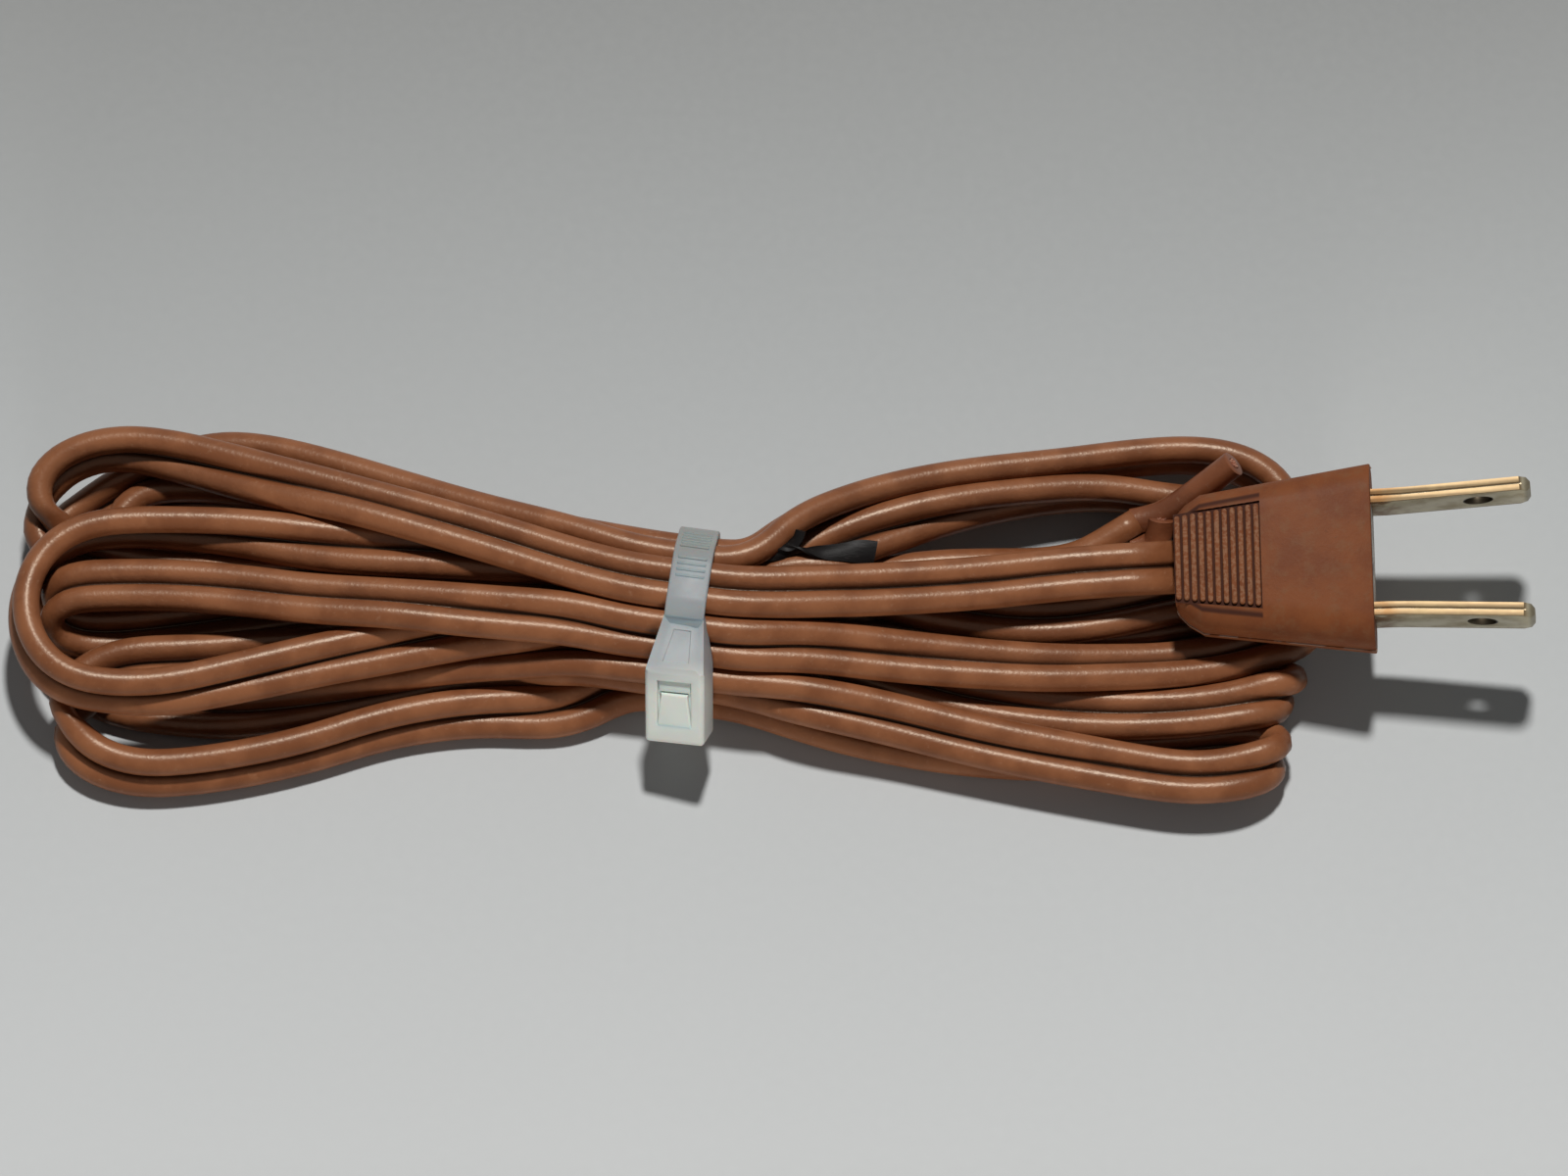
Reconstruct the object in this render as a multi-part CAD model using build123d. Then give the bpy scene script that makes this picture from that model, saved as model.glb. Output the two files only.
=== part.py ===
from build123d import *
from math import cos, radians, sin, tan
import os

# A two-core mains lead with a moulded flat plug, wound in a flat hank and held by a cable tie.
# Millimetres. +X points along the plug towards its blades, +Z is up, and the hank lies on z = 0.
# The origin is under the middle of the whole lead.

# Cord
CORE_DIAMETER = 3.0
CORD_WIDTH = 6.0
CONDUCTOR_DIAMETER = 1.3
COPPER_PROUD = 0.15
COPPER_DEPTH = 2.0

# Plug body
PLUG_LENGTH = 21.7
PLUG_FACE_WIDTH = 20.8
PLUG_SHOULDER_WIDTH = 15.7
PLUG_SHOULDER_X = 4.4
PLUG_REAR_WIDTH = 10.4
PLUG_THICKNESS = 8.8
PLUG_SIDE_ROUND = 3.2
SIDE_ROUND_STEPS = 5
REAR_ROUND_STEPS = 4
PARTING_RIDGE_HEIGHT = 0.12
PARTING_RIDGE_THICKNESS = 0.3

# Grip on both wide faces of the plug
RIB_COUNT = 11
RIB_PITCH = 0.87
RIB_WIDTH = 0.55
RIB_HEIGHT = 0.45
RIB_END_CUT = 0.16
PAD_REAR_WIDTH = 9.9
PAD_FRONT_WIDTH = 12.2
RIB_END_MARGIN = 0.35

# Blades
BLADE_SPACING = 12.7
BLADE_HEIGHT = 6.35
BLADE_THICKNESS = 1.5
BLADE_REACH = 17.5
BLADE_ROOT = 8.5
BLADE_HOLE_DIAMETER = 3.2
BLADE_HOLE_X = 11.7
BLADE_TIP_CORNER = 1.2
BLADE_TIP_BEVEL = 0.4
BLADE_BEND_X = 5.0
FRONT_BLADE_BEND = -3.2
BACK_BLADE_BEND = 3.0
SEAM_WIDTH = 0.22
SEAM_DEPTH = 0.25

# What the plug body holds
BARREL_DIAMETER = 3.6
BARREL_LENGTH = 4.6
BARREL_SPACING = 10.8
BARREL_OVERLAP = 1.5
BRIDGE_DEPTH = 5.5
BRIDGE_HEIGHT = 6.6
BRIDGE_ROUND = 0.6
INNER_CORE_DIAMETER = 2.9
INNER_CORE_SPACING = 3.3

# How the plug lies on the hank: its rear centre, its nose up and its front side down
PLUG_REAR = (45.0, 3.55, 10.5)
PLUG_PITCH = 6.5
PLUG_ROLL = 8.5
PLUG_CLEARANCE = 0.3

# The tied waist of the hank, across and up
WAIST_CENTRE = (-8.8, -1.4, 0)
WAIST_LENGTH = 12.0
WAIST_WIDTH = 17.1
WAIST_TOP = 14.7
WAIST_SLOPE = 6.9
WAIST_BACK_BEVEL = 4.2
WAIST_CORNER = 2.2

# Cable tie: strap, then flare and head along the waist's front slope.
# The head is turned and rolled a little out of the strap's line, and its edge rests on the slope.
TIE_TURN = 8.0
STRAP_WIDTH = 4.4
STRAP_THICKNESS = 1.2
LADDER_PITCH = 0.75
LADDER_GROOVE = 0.35
LADDER_DEPTH = 0.25
LADDER_RAIL = 0.55
FLARE_START = 0.6
FLARE_LENGTH = 5.3
HEAD_SHIFT = 0.5
HEAD_LIFT = 0.6
HEAD_TURN = 5.6
HEAD_ROLL = 8.7
HEAD_LENGTH = 8.2
HEAD_WIDTH = 6.7
HEAD_THICKNESS = 4.5
HEAD_CHAMFER = 0.5
WINDOW_WIDTH = 3.8
WINDOW_LENGTH = 5.2
WINDOW_FROM_TOP = 0.8
STRAP_END_SUNK = 0.4
PAWL_TIP_WIDTH = 2.5
PAWL_ROOT_WIDTH = 3.6
PAWL_LENGTH = 3.9
PAWL_SUNK = 0.2
PAWL_THICKNESS = 1.6

# Twist tie: its twisted ends, in the gap behind the lead. Each row is how far along its line
# the strip's section is, how far it has turned in degrees, and how wide it is there.
TWIST_START = (0.4, 5.3, 12.2)
TWIST_END = (10.4, 5.8, 11.6)
TWIST_THICKNESS = 1.2
TWIST_SECTIONS = [
    (0.0, 0.0, 2.2),
    (2.2, 70.0, 2.2),
    (4.4, 140.0, 2.2),
    (6.6, 180.0, 2.2),
    (8.4, 180.0, 2.4),
    (10.4, 200.0, 3.2),
    (12.4, 210.0, 3.0),
]

# The lead's route: straight out of the plug, then these corners on the way to the tie
LEAD_STRAIGHT = 9.5
LEAD_CORNERS = [
    (23.0, 1.6, 10.3),
    (10.0, 0.2, 11.9),
    (-5.0, -0.5, 12.6),
]

# The hank's lobes as rounded sections: x, lowest y, highest y, bottom, top
LEFT_LOBE = [
    (-32.0, -13.0, 12.5, 0.0, 13.2),
    (-50.0, -17.0, 18.0, 0.0, 12.4),
    (-64.0, -19.8, 21.6, 0.0, 11.8),
    (-76.0, -17.5, 19.0, 0.0, 11.4),
    (-82.4, -12.0, 13.0, 0.0, 11.0),
    (-84.25, -8.0, 9.0, 1.0, 10.0),
]
RIGHT_LOBE = [
    (12.0, -13.8, 12.6, 0.0, 9.9),
    (30.0, -18.4, 18.2, 0.0, 7.6),
    (46.0, -21.6, 19.6, 0.0, 7.2),
    (54.0, -20.4, 16.0, 0.0, 7.0),
    (57.4, -17.0, 12.0, 0.0, 6.8),
    (58.8, -13.0, 8.0, 1.0, 6.0),
]
LOBE_ROUND = 2.4
WAIST_INSET = 0.35
LEFT_JOIN_TOP = 13.4
RIGHT_JOIN_TOP = 10.9

# The cord's far end, split in its two cores: start and cut end of each
TAIL_LONG = [(43.6, 10.6, 6.0), (51.4, 15.0, 12.6)]
TAIL_SHORT = [(42.0, 6.4, 5.4), (42.4, 9.8, 9.4)]


def in_plug_place(shape):
    """Moves a shape from the plug's own frame (rear centre, +X forward) to where the plug lies."""
    lie = Location(PLUG_REAR) * Rot(0, -PLUG_PITCH, 0) * Rot(PLUG_ROLL, 0, 0)
    return lie * shape


def in_waist_place(shape):
    """Moves a shape from the waist's frame (+X along the strands) to where the waist is."""
    return Location(WAIST_CENTRE) * Rot(0, 0, -TIE_TURN) * shape


def waist_plane(along):
    """A plane across the waist's strands, at a distance along them from the tie."""
    turn = radians(-TIE_TURN)
    direction = Vector(cos(turn), sin(turn), 0)
    return Plane(
        origin=Vector(*WAIST_CENTRE) + direction * along,
        x_dir=(-sin(turn), cos(turn), 0),
        z_dir=direction,
    )


def across(x, y=0, z=0):
    """A plane across the X axis whose own axes are Y and Z."""
    return Plane(origin=(x, y, z), x_dir=(0, 1, 0), z_dir=(1, 0, 0))


def rod(start, end, diameter):
    """A round bar between two points."""
    run = Vector(*end) - Vector(*start)
    return extrude(Plane(origin=start, z_dir=run) * Circle(diameter / 2), run.length)


# Plug body


def plug_widths():
    """The body's width along its length: a rounded rear, a shoulder and a widening front."""
    rows = []
    for step in range(REAR_ROUND_STEPS + 1):
        angle = radians(90 * step / REAR_ROUND_STEPS)
        x = PLUG_SHOULDER_X * (1 - cos(angle))
        rows.append((x, PLUG_REAR_WIDTH + (PLUG_SHOULDER_WIDTH - PLUG_REAR_WIDTH) * sin(angle)))
    return rows + [(PLUG_LENGTH, PLUG_FACE_WIDTH)]


def plug_section(x, width):
    """A section across the body, whose corners are rounded in short flat steps."""
    side_centre = width / 2 - PLUG_SIDE_ROUND
    top_centre = PLUG_THICKNESS / 2 - PLUG_SIDE_ROUND
    points = []
    for quarter, (side, level) in enumerate([(1, 1), (-1, 1), (-1, -1), (1, -1)]):
        for step in range(SIDE_ROUND_STEPS + 1):
            angle = radians(90 * (quarter + step / SIDE_ROUND_STEPS))
            y = side * side_centre + PLUG_SIDE_ROUND * cos(angle)
            z = level * top_centre + PLUG_SIDE_ROUND * sin(angle)
            points.append((y, z))
    return across(x) * Polygon(*points, align=None)


def plug_outer():
    """The moulded body without its grip."""
    return loft([plug_section(x, width) for x, width in plug_widths()], ruled=True)


def parting_ridge():
    """The thin ridge that the mould's joint leaves along both sides."""
    front_side = [(x, -width / 2 - PARTING_RIDGE_HEIGHT) for x, width in plug_widths()]
    back_side = [(x, -y) for x, y in reversed(front_side)]
    outline = Polygon(*front_side, *back_side, align=None)
    return extrude(outline, PARTING_RIDGE_THICKNESS / 2, both=True)


def pad_outline():
    """The grip's trapezoid, seen from above."""
    length = RIB_COUNT * RIB_PITCH
    rear = PAD_REAR_WIDTH / 2
    front = PAD_FRONT_WIDTH / 2
    return Polygon((0, -rear), (length, -front), (length, front), (0, rear), align=None)


def with_grip(body):
    """Adds the ribbed pads to both wide faces."""
    base = PLUG_THICKNESS / 2 - RIB_HEIGHT
    body = body + extrude(pad_outline(), base, both=True)
    ribs = []
    for side in (1, -1):
        body = body - extrude(Pos(0, 0, side * base) * pad_outline(), side * PLUG_THICKNESS)
        for index in range(RIB_COUNT):
            share = (index + 0.5) / RIB_COUNT
            width = PAD_REAR_WIDTH + (PAD_FRONT_WIDTH - PAD_REAR_WIDTH) * share - 2 * RIB_END_MARGIN
            bar = Rectangle(RIB_WIDTH, width)
            bar = chamfer(bar.vertices(), RIB_END_CUT)
            place = Pos(share * RIB_COUNT * RIB_PITCH, 0, side * base)
            ribs.append(extrude(place * bar, side * RIB_HEIGHT))
    return body + ribs


def plug_body(held):
    """The moulded body round the pieces that it holds."""
    body = with_grip(plug_outer() + parting_ridge())
    for piece in held:
        body = body - piece
    return body


# Pieces held by the plug body


def barrel_start():
    return PLUG_LENGTH - BLADE_ROOT - BARREL_LENGTH + BARREL_OVERLAP


def barrel(side):
    """The crimp barrel that grips the stripped conductor."""
    place = across(barrel_start(), side * BARREL_SPACING / 2)
    return extrude(place * Circle(BARREL_DIAMETER / 2), BARREL_LENGTH) - conductor(side)


def conductor(side):
    """The stripped strands inside the barrel."""
    place = across(barrel_start(), side * BARREL_SPACING / 2)
    return extrude(place * Circle(CONDUCTOR_DIAMETER / 2), BARREL_LENGTH - BARREL_OVERLAP)


def inner_core(side):
    """An insulated core from the plug's rear face to its crimp barrel."""
    start = Vector(0, side * INNER_CORE_SPACING / 2, 0)
    end = Vector(barrel_start(), side * BARREL_SPACING / 2, 0)
    beyond = (end - start).normalized() * INNER_CORE_DIAMETER
    bar = rod(tuple(start - beyond), tuple(end + beyond), INNER_CORE_DIAMETER)
    room = Box(barrel_start(), PLUG_FACE_WIDTH, PLUG_THICKNESS, align=(Align.MIN, Align.CENTER, Align.CENTER))
    return bar & room


def bridge():
    """The pale insert between the blades, flush with the front face."""
    block = Box(BRIDGE_DEPTH, BLADE_SPACING - BLADE_THICKNESS, BRIDGE_HEIGHT)
    rear_edges = block.edges().filter_by(Axis.Y).group_by(Axis.X)[0]
    return Pos(PLUG_LENGTH - BRIDGE_DEPTH / 2, 0, 0) * fillet(rear_edges, BRIDGE_ROUND)


def blade(side, bend):
    """A folded blade with its hole, fold seam and crimp barrel; side is -1 for the front one."""
    root_x = PLUG_LENGTH - BLADE_ROOT
    knee = Vector(PLUG_LENGTH + BLADE_BEND_X / 2, 0, 0)
    direction = Vector(cos(radians(bend)), sin(radians(bend)), 0)
    tip = knee + direction * (BLADE_REACH - BLADE_BEND_X / 2)
    bend_radius = BLADE_BEND_X / 2 / tan(radians(abs(bend)) / 2)
    spine = FilletPolyline((root_x, 0, 0), knee, tip, radius=bend_radius)
    plate = sweep(across(root_x) * Rectangle(BLADE_THICKNESS, BLADE_HEIGHT), path=spine)

    top = BLADE_HEIGHT / 2
    side_view = Plane(origin=tip, x_dir=direction, z_dir=direction.cross(Vector(0, 0, 1)))
    corner = BLADE_TIP_CORNER
    for level in (1, -1):
        wedge = Polygon((0, level * top), (-corner, level * top), (0, level * (top - corner)), align=None)
        plate = plate - extrude(side_view * wedge, BLADE_THICKNESS, both=True)

    half = BLADE_THICKNESS / 2
    top_view = Plane(origin=tip, x_dir=direction, z_dir=(0, 0, 1))
    bevel = BLADE_TIP_BEVEL
    for flank in (1, -1):
        wedge = Polygon((0, flank * half), (-bevel, flank * half), (0, flank * (half - bevel)), align=None)
        plate = plate - extrude(top_view * wedge, BLADE_HEIGHT, both=True)

    hole_place = Plane(
        origin=knee + direction * (BLADE_HOLE_X - BLADE_BEND_X / 2),
        z_dir=direction.cross(Vector(0, 0, 1)),
    )
    plate = plate - extrude(hole_place * Circle(BLADE_HOLE_DIAMETER / 2), BLADE_THICKNESS, both=True)

    seam_section = across(root_x, 0, top) * Rectangle(SEAM_WIDTH, 2 * SEAM_DEPTH)
    plate = plate - sweep(seam_section, path=Pos(0, 0, top) * spine)
    return Pos(0, side * BLADE_SPACING / 2, 0) * plate + barrel(side)


# Cord


def tube(points, start_plane, section):
    """A tube along straight runs joined by arcs as large as the runs allow."""
    vectors = [Vector(*point) for point in points]
    radii = []
    for before, here, after in zip(vectors, vectors[1:], vectors[2:]):
        half_turn = radians((here - before).get_angle(after - here)) / 2
        shorter = min((here - before).length, (after - here).length)
        radii.append(0.45 * shorter / tan(half_turn))
    path = FilletPolyline(*points, radius=radii)
    solid = sweep(start_plane * section, path=path)
    print("lead radii, mm:", [round(radius, 1) for radius in radii])
    print("lead volume over section times length:", round(solid.volume / section.area / path.length, 4))
    return solid


def lead():
    """The stretch from the plug to the tied waist, as wide and as thick as the cord."""
    width_direction = (0, cos(radians(PLUG_ROLL)), sin(radians(PLUG_ROLL)))
    plug_direction = Vector(cos(radians(PLUG_PITCH)), 0, sin(radians(PLUG_PITCH)))
    start = Plane(origin=PLUG_REAR, x_dir=width_direction, z_dir=-plug_direction)
    first_corner = Vector(*PLUG_REAR) - plug_direction * LEAD_STRAIGHT
    route = [PLUG_REAR, tuple(first_corner), *LEAD_CORNERS]
    return tube(route, start, SlotOverall(CORD_WIDTH, CORE_DIAMETER))


def waist_corners():
    """The tied waist's outline, across and up: flat below, sloped at the front, bevelled behind."""
    half = WAIST_WIDTH / 2
    return [
        (-half, STRAP_THICKNESS),
        (half, STRAP_THICKNESS),
        (half, WAIST_TOP - WAIST_BACK_BEVEL),
        (half - WAIST_BACK_BEVEL, WAIST_TOP),
        (-half + WAIST_SLOPE, WAIST_TOP),
        (-half, WAIST_TOP - WAIST_SLOPE),
    ]


def waist_outline():
    face = Polygon(*waist_corners(), align=None)
    return fillet(face.vertices(), WAIST_CORNER)


def lobe_section(plane, low, high, bottom, top):
    """A rounded section of a lobe, drawn on a plane whose own axes are across and up."""
    middle = Pos((low + high) / 2, (bottom + top) / 2)
    return plane * middle * RectangleRounded(high - low, top - bottom, LOBE_ROUND)


def lobe(end, rows, join_top):
    """One end of the hank, from the waist's face (end -1 is the left one) to its last turns."""
    half = WAIST_WIDTH / 2 - WAIST_INSET
    sections = [lobe_section(waist_plane(end * WAIST_LENGTH / 2), -half, half, STRAP_THICKNESS, join_top)]
    for x, low, high, bottom, top in rows:
        sections.append(lobe_section(across(x), low, high, bottom, top))
    return loft(sections, ruled=True)


def plug_room():
    """The space over the hank that the plug lies in."""
    clear = PLUG_CLEARANCE
    floor = -PLUG_THICKNESS / 2 - clear
    room = Box(
        PLUG_LENGTH + 2 * clear,
        PLUG_FACE_WIDTH + 2 * clear,
        2 * PLUG_THICKNESS,
        align=(Align.MIN, Align.CENTER, Align.MIN),
    )
    return in_plug_place(Pos(-clear, 0, floor) * room)


def hank():
    """The outer shape of the wound cord: two lobes and the waist that the tie holds."""
    waist = in_waist_place(extrude(across(0) * waist_outline(), WAIST_LENGTH / 2, both=True))
    left = lobe(-1, LEFT_LOBE, LEFT_JOIN_TOP)
    right = lobe(1, RIGHT_LOBE, RIGHT_JOIN_TOP)
    return waist + left + right - plug_room()


def tail(ends, below):
    """One of the split cores: insulation that stands out of the hank, and the copper in its cut end."""
    start, cut = ends
    run = (Vector(*cut) - Vector(*start)).normalized()
    copper_start = Vector(*cut) - run * COPPER_DEPTH
    copper_end = Vector(*cut) + run * COPPER_PROUD
    copper = rod(tuple(copper_start), tuple(copper_end), CONDUCTOR_DIAMETER)
    core = rod(start, cut, CORE_DIAMETER) - copper - below
    return core, copper


# Ties


def ladder():
    """Cross grooves in the strap's outer face, on the stretch that the pawl can grip."""
    corners = waist_corners()
    cuts = []
    for start, end in zip(corners[1:4], corners[2:5]):
        first = Vector(*start)
        run = Vector(*end) - first
        outward = Vector(run.Y, -run.X).normalized()
        teeth = int((run.length - 2 * WAIST_CORNER * 0.6) / LADDER_PITCH)
        for tooth in range(teeth + 1):
            along = run.length / 2 + (tooth - teeth / 2) * LADDER_PITCH
            spot = first + run.normalized() * along + outward * STRAP_THICKNESS
            groove = Box(STRAP_WIDTH - 2 * LADDER_RAIL, LADDER_GROOVE, 2 * LADDER_DEPTH)
            place = Plane(origin=(0, spot.X, spot.Y), x_dir=(1, 0, 0), z_dir=(0, outward.X, outward.Y))
            cuts.append(place * groove)
    return cuts


def cut_corner_section(x, width, thickness, cut):
    """A rectangle across the X axis with cut corners, standing on z = 0."""
    face = Pos(0, thickness / 2) * Rectangle(width, thickness)
    return across(x) * chamfer(face.vertices(), cut)


def head_place():
    """Where the head starts, seen from the start of the flare."""
    return Pos(FLARE_LENGTH, HEAD_SHIFT, HEAD_LIFT) * Rot(0, 0, HEAD_TURN) * Rot(HEAD_ROLL, 0, 0)


def tie_head():
    """The flare and the head in their own frame: +X down the slope, +Z away from the strands."""
    strap_cut = HEAD_CHAMFER * STRAP_THICKNESS / HEAD_THICKNESS
    thin = cut_corner_section(0, STRAP_WIDTH, STRAP_THICKNESS, strap_cut)
    thick = cut_corner_section(0, HEAD_WIDTH, HEAD_THICKNESS, HEAD_CHAMFER)
    flare = loft([thin, head_place() * thick], ruled=True)

    head = extrude(thick, HEAD_LENGTH)
    head = chamfer(head.edges().group_by(Axis.X)[-1], HEAD_CHAMFER / 2)
    on_slope = (Align.MIN, Align.CENTER, Align.MIN)
    window = Box(WINDOW_LENGTH, WINDOW_WIDTH, HEAD_THICKNESS, align=on_slope)
    head = head - Pos(WINDOW_FROM_TOP, 0, STRAP_THICKNESS) * window
    sunk_end = Box(STRAP_THICKNESS, WINDOW_WIDTH, HEAD_THICKNESS - STRAP_END_SUNK, align=on_slope)
    head = head + Pos(WINDOW_FROM_TOP, 0, 0) * sunk_end

    root_x = WINDOW_FROM_TOP + WINDOW_LENGTH
    tip_x = root_x - PAWL_LENGTH
    pawl_plan = Polygon(
        (tip_x, -PAWL_TIP_WIDTH / 2),
        (root_x, -PAWL_ROOT_WIDTH / 2),
        (root_x, PAWL_ROOT_WIDTH / 2),
        (tip_x, PAWL_TIP_WIDTH / 2),
        align=None,
    )
    pawl = Pos(0, 0, HEAD_THICKNESS - PAWL_SUNK) * extrude(pawl_plan, -PAWL_THICKNESS)
    return flare + head_place() * (head + pawl)


def cable_tie():
    """The tie as one moulded piece, closed round the waist."""
    inner = waist_outline()
    outer = offset(inner, amount=STRAP_THICKNESS, kind=Kind.ARC)
    strap = extrude(across(0) * (outer - inner), STRAP_WIDTH / 2, both=True)
    strap = strap - ladder()
    slope_top = waist_corners()[4]
    slope = Plane(origin=(0, *slope_top), x_dir=(0, -1, -1), z_dir=(0, -1, 1))
    return in_waist_place(strap + slope * Pos(FLARE_START, 0, 0) * tie_head())


def twist_tie():
    """Twisted flat ends of a covered wire, opened to a tab at the tip."""
    line = Plane(origin=TWIST_START, x_dir=(0, 1, 0), z_dir=Vector(*TWIST_END) - Vector(*TWIST_START))
    sections = []
    for along, turn, width in TWIST_SECTIONS:
        sections.append(line * Pos(0, 0, along) * Rot(0, 0, turn) * Rectangle(width, TWIST_THICKNESS))
    return loft(sections, ruled=True)


def main():
    blades = {
        "blade_front": blade(-1, FRONT_BLADE_BEND),
        "blade_back": blade(1, BACK_BLADE_BEND),
    }
    held = {
        "blade_bridge": bridge(),
        "inner_core_front": inner_core(-1),
        "inner_core_back": inner_core(1),
        "conductor_front": conductor(-1),
        "conductor_back": conductor(1),
    }
    parts = {"plug_body": plug_body([*blades.values(), *held.values()]), **blades, **held}
    parts = {name: in_plug_place(piece) for name, piece in parts.items()}

    wound = hank()
    parts["cord_hank"] = wound
    parts["lead_cord"] = lead() - wound
    parts["tail_core_long"], parts["tail_strands_long"] = tail(TAIL_LONG, wound)
    parts["tail_core_short"], parts["tail_strands_short"] = tail(TAIL_SHORT, wound)
    parts["cable_tie"] = cable_tie()
    parts["twist_tie"] = twist_tie()

    os.makedirs("parts", exist_ok=True)
    for name, piece in parts.items():
        solids = piece.solids()
        export_step(solids[0] if len(solids) == 1 else Compound(solids), f"parts/{name}.step")


main()
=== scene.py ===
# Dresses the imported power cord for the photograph's view. Lengths in the script are in mm, apart
# from the floor's and the lights'.
import math

import bmesh
import bpy
import numpy as np
from mathutils import Matrix, Vector

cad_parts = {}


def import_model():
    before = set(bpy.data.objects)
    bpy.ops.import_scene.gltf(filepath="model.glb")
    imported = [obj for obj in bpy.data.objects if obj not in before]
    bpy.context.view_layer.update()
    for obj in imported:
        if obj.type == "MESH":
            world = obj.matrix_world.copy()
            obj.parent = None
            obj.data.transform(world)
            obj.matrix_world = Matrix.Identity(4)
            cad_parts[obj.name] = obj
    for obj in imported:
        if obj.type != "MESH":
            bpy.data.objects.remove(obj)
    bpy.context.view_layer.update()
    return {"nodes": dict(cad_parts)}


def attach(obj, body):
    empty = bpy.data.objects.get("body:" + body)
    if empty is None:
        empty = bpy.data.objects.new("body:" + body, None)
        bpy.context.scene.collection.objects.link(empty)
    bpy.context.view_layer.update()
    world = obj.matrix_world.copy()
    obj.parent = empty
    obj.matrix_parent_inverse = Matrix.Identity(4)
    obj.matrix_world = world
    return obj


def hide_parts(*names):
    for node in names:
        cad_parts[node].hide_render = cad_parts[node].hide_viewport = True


MM = 0.001
TO_MM = 1000.0

# The photograph's frame: its middle looks at this point from this far, this much off the vertical
LOOK_AT = (1.75, 5.3, 0.0)
CAMERA_DISTANCE = 900.0
CAMERA_TILT = 22.0
CAMERA_LENS = 185.3

# Cord, mm
CORE_DIAMETER = 3.0
CORE_RADIUS = CORE_DIAMETER / 2
WEB_HALF = 0.3
GROOVE_REACH = 0.9

# How the cord is laid: its nodes, and how its cores are pushed apart where they touch
NODE_SPACING = 2.5
SETTLE_ROUNDS = 260
PAIRS_LAST = 10
PAIR_REACH = NODE_SPACING + CORE_DIAMETER + 1.0
PAIR_NODES_APART = 5
CORE_CLEARANCE = 0.02
PUSH_SHARE = 0.35
PULL_BACK = 0.995
TIE_SQUEEZE = 0.6

# How the plug lies: rear centre in mm, nose up and front side down in degrees
PLUG_REAR = (45.0, 3.55, 10.5)
PLUG_PITCH = 6.5
PLUG_ROLL = 8.5
PLUG_LENGTH = 21.7
PLUG_THICKNESS = 8.8
PLUG_SIDE_ROUND = 3.2
PLUG_REAR_ROUND = 0.45
PLUG_FACE_ROUND = 0.18
PARTING_HEIGHT = 0.12
PARTING_HALF = 0.14

# The plug's half widths from its rear to its face, as moulded and as the cord keeps clear of it
PLUG_HALF_WIDTHS = [(0.0, 5.2), (1.2, 6.55), (2.9, 7.65), (4.9, 7.95), (PLUG_LENGTH, 10.4)]
CLEAR_HALF_WIDTHS = [(0.0, 5.2), (4.4, 7.85), (PLUG_LENGTH, 10.4)]

# Grip of the plug: ribs on a block that stands a little out of the rounded sides
GRIP_LENGTH = 9.57
GRIP_REAR_HALF = 4.95
GRIP_FRONT_HALF = 6.1
GRIP_FLOOR = 3.95
GRIP_CUT_TOP = 7.0
RIB_COUNT = 11
RIB_PITCH = 0.87
RIB_WIDTH = 0.62
RIB_HEIGHT = 0.45
RIB_END_MARGIN = 0.3
RIB_SUNK = 0.2
RIB_TOP_ROUND = 0.17

# The insert's pocket in the plug's face, and a blade's hole, from the plug's rear
INSERT_DEPTH = 5.5
INSERT_HALF = 5.6
INSERT_HALF_HEIGHT = 3.3
HOLE_PLACE = 33.4
HOLE_RADIUS = 1.6

# The tied waist: its middle, its turn, and its outline across and up
WAIST_CENTRE = (-8.8, -1.4)
WAIST_TURN = -8.0
WAIST_HALF_LENGTH = 6.0
WAIST_HALF = 8.55
WAIST_TOP = 14.7
WAIST_SLOPE = 6.9
WAIST_BACK_BEVEL = 4.2
WAIST_FLOOR = 1.2
WAIST_OUTLINE = [
    (-WAIST_HALF, WAIST_FLOOR),
    (WAIST_HALF, WAIST_FLOOR),
    (WAIST_HALF, WAIST_TOP - WAIST_BACK_BEVEL),
    (WAIST_HALF - WAIST_BACK_BEVEL, WAIST_TOP),
    (WAIST_SLOPE - WAIST_HALF, WAIST_TOP),
    (-WAIST_HALF, WAIST_TOP - WAIST_SLOPE),
]

# Cable tie: the strap round the waist, then its flare and head on the front slope
STRAP_HALF = 2.2
STRAP_THICKNESS = 1.2
STRAP_CORNER = 3.4
STRAP_EDGE_ROUND = 0.22
FLARE_START = 0.6
FLARE_LENGTH = 5.3
HEAD_SHIFT = 0.5
HEAD_LIFT = 0.6
HEAD_TURN = 5.6
HEAD_ROLL = 8.7
HEAD_LENGTH = 8.2
HEAD_HALF = 3.35
HEAD_THICKNESS = 4.5
HEAD_ROUND = 0.5
WINDOW_TOP = 0.8
WINDOW_BOTTOM = 6.0
WINDOW_HALF = 1.9
WINDOW_DEPTH = 0.55
LADDER_PITCH = 0.72
LADDER_MARGIN = 0.6
LADDER_BAR_HALF = 0.16
LADDER_HEIGHT = 0.07
TOP_BARS = 4
BACK_BARS = 6

# Where along y the tie's colours of head, flare and back fade into the next
HEAD_FADE = (-12.4, -8.8)
FLARE_FADE = (-8.0, -4.0)
BACK_FADE = (0.5, 4.5)

# The lead from the plug to the tie: the points of its route, each with the tilt of its width
LEAD = [
    (45.0, 3.55, 10.5, 8.5),
    (35.56, 3.55, 9.42, 8.5),
    (23.0, 1.6, 10.3, 8.0),
    (10.0, 0.2, 11.9, 4.0),
]

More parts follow.
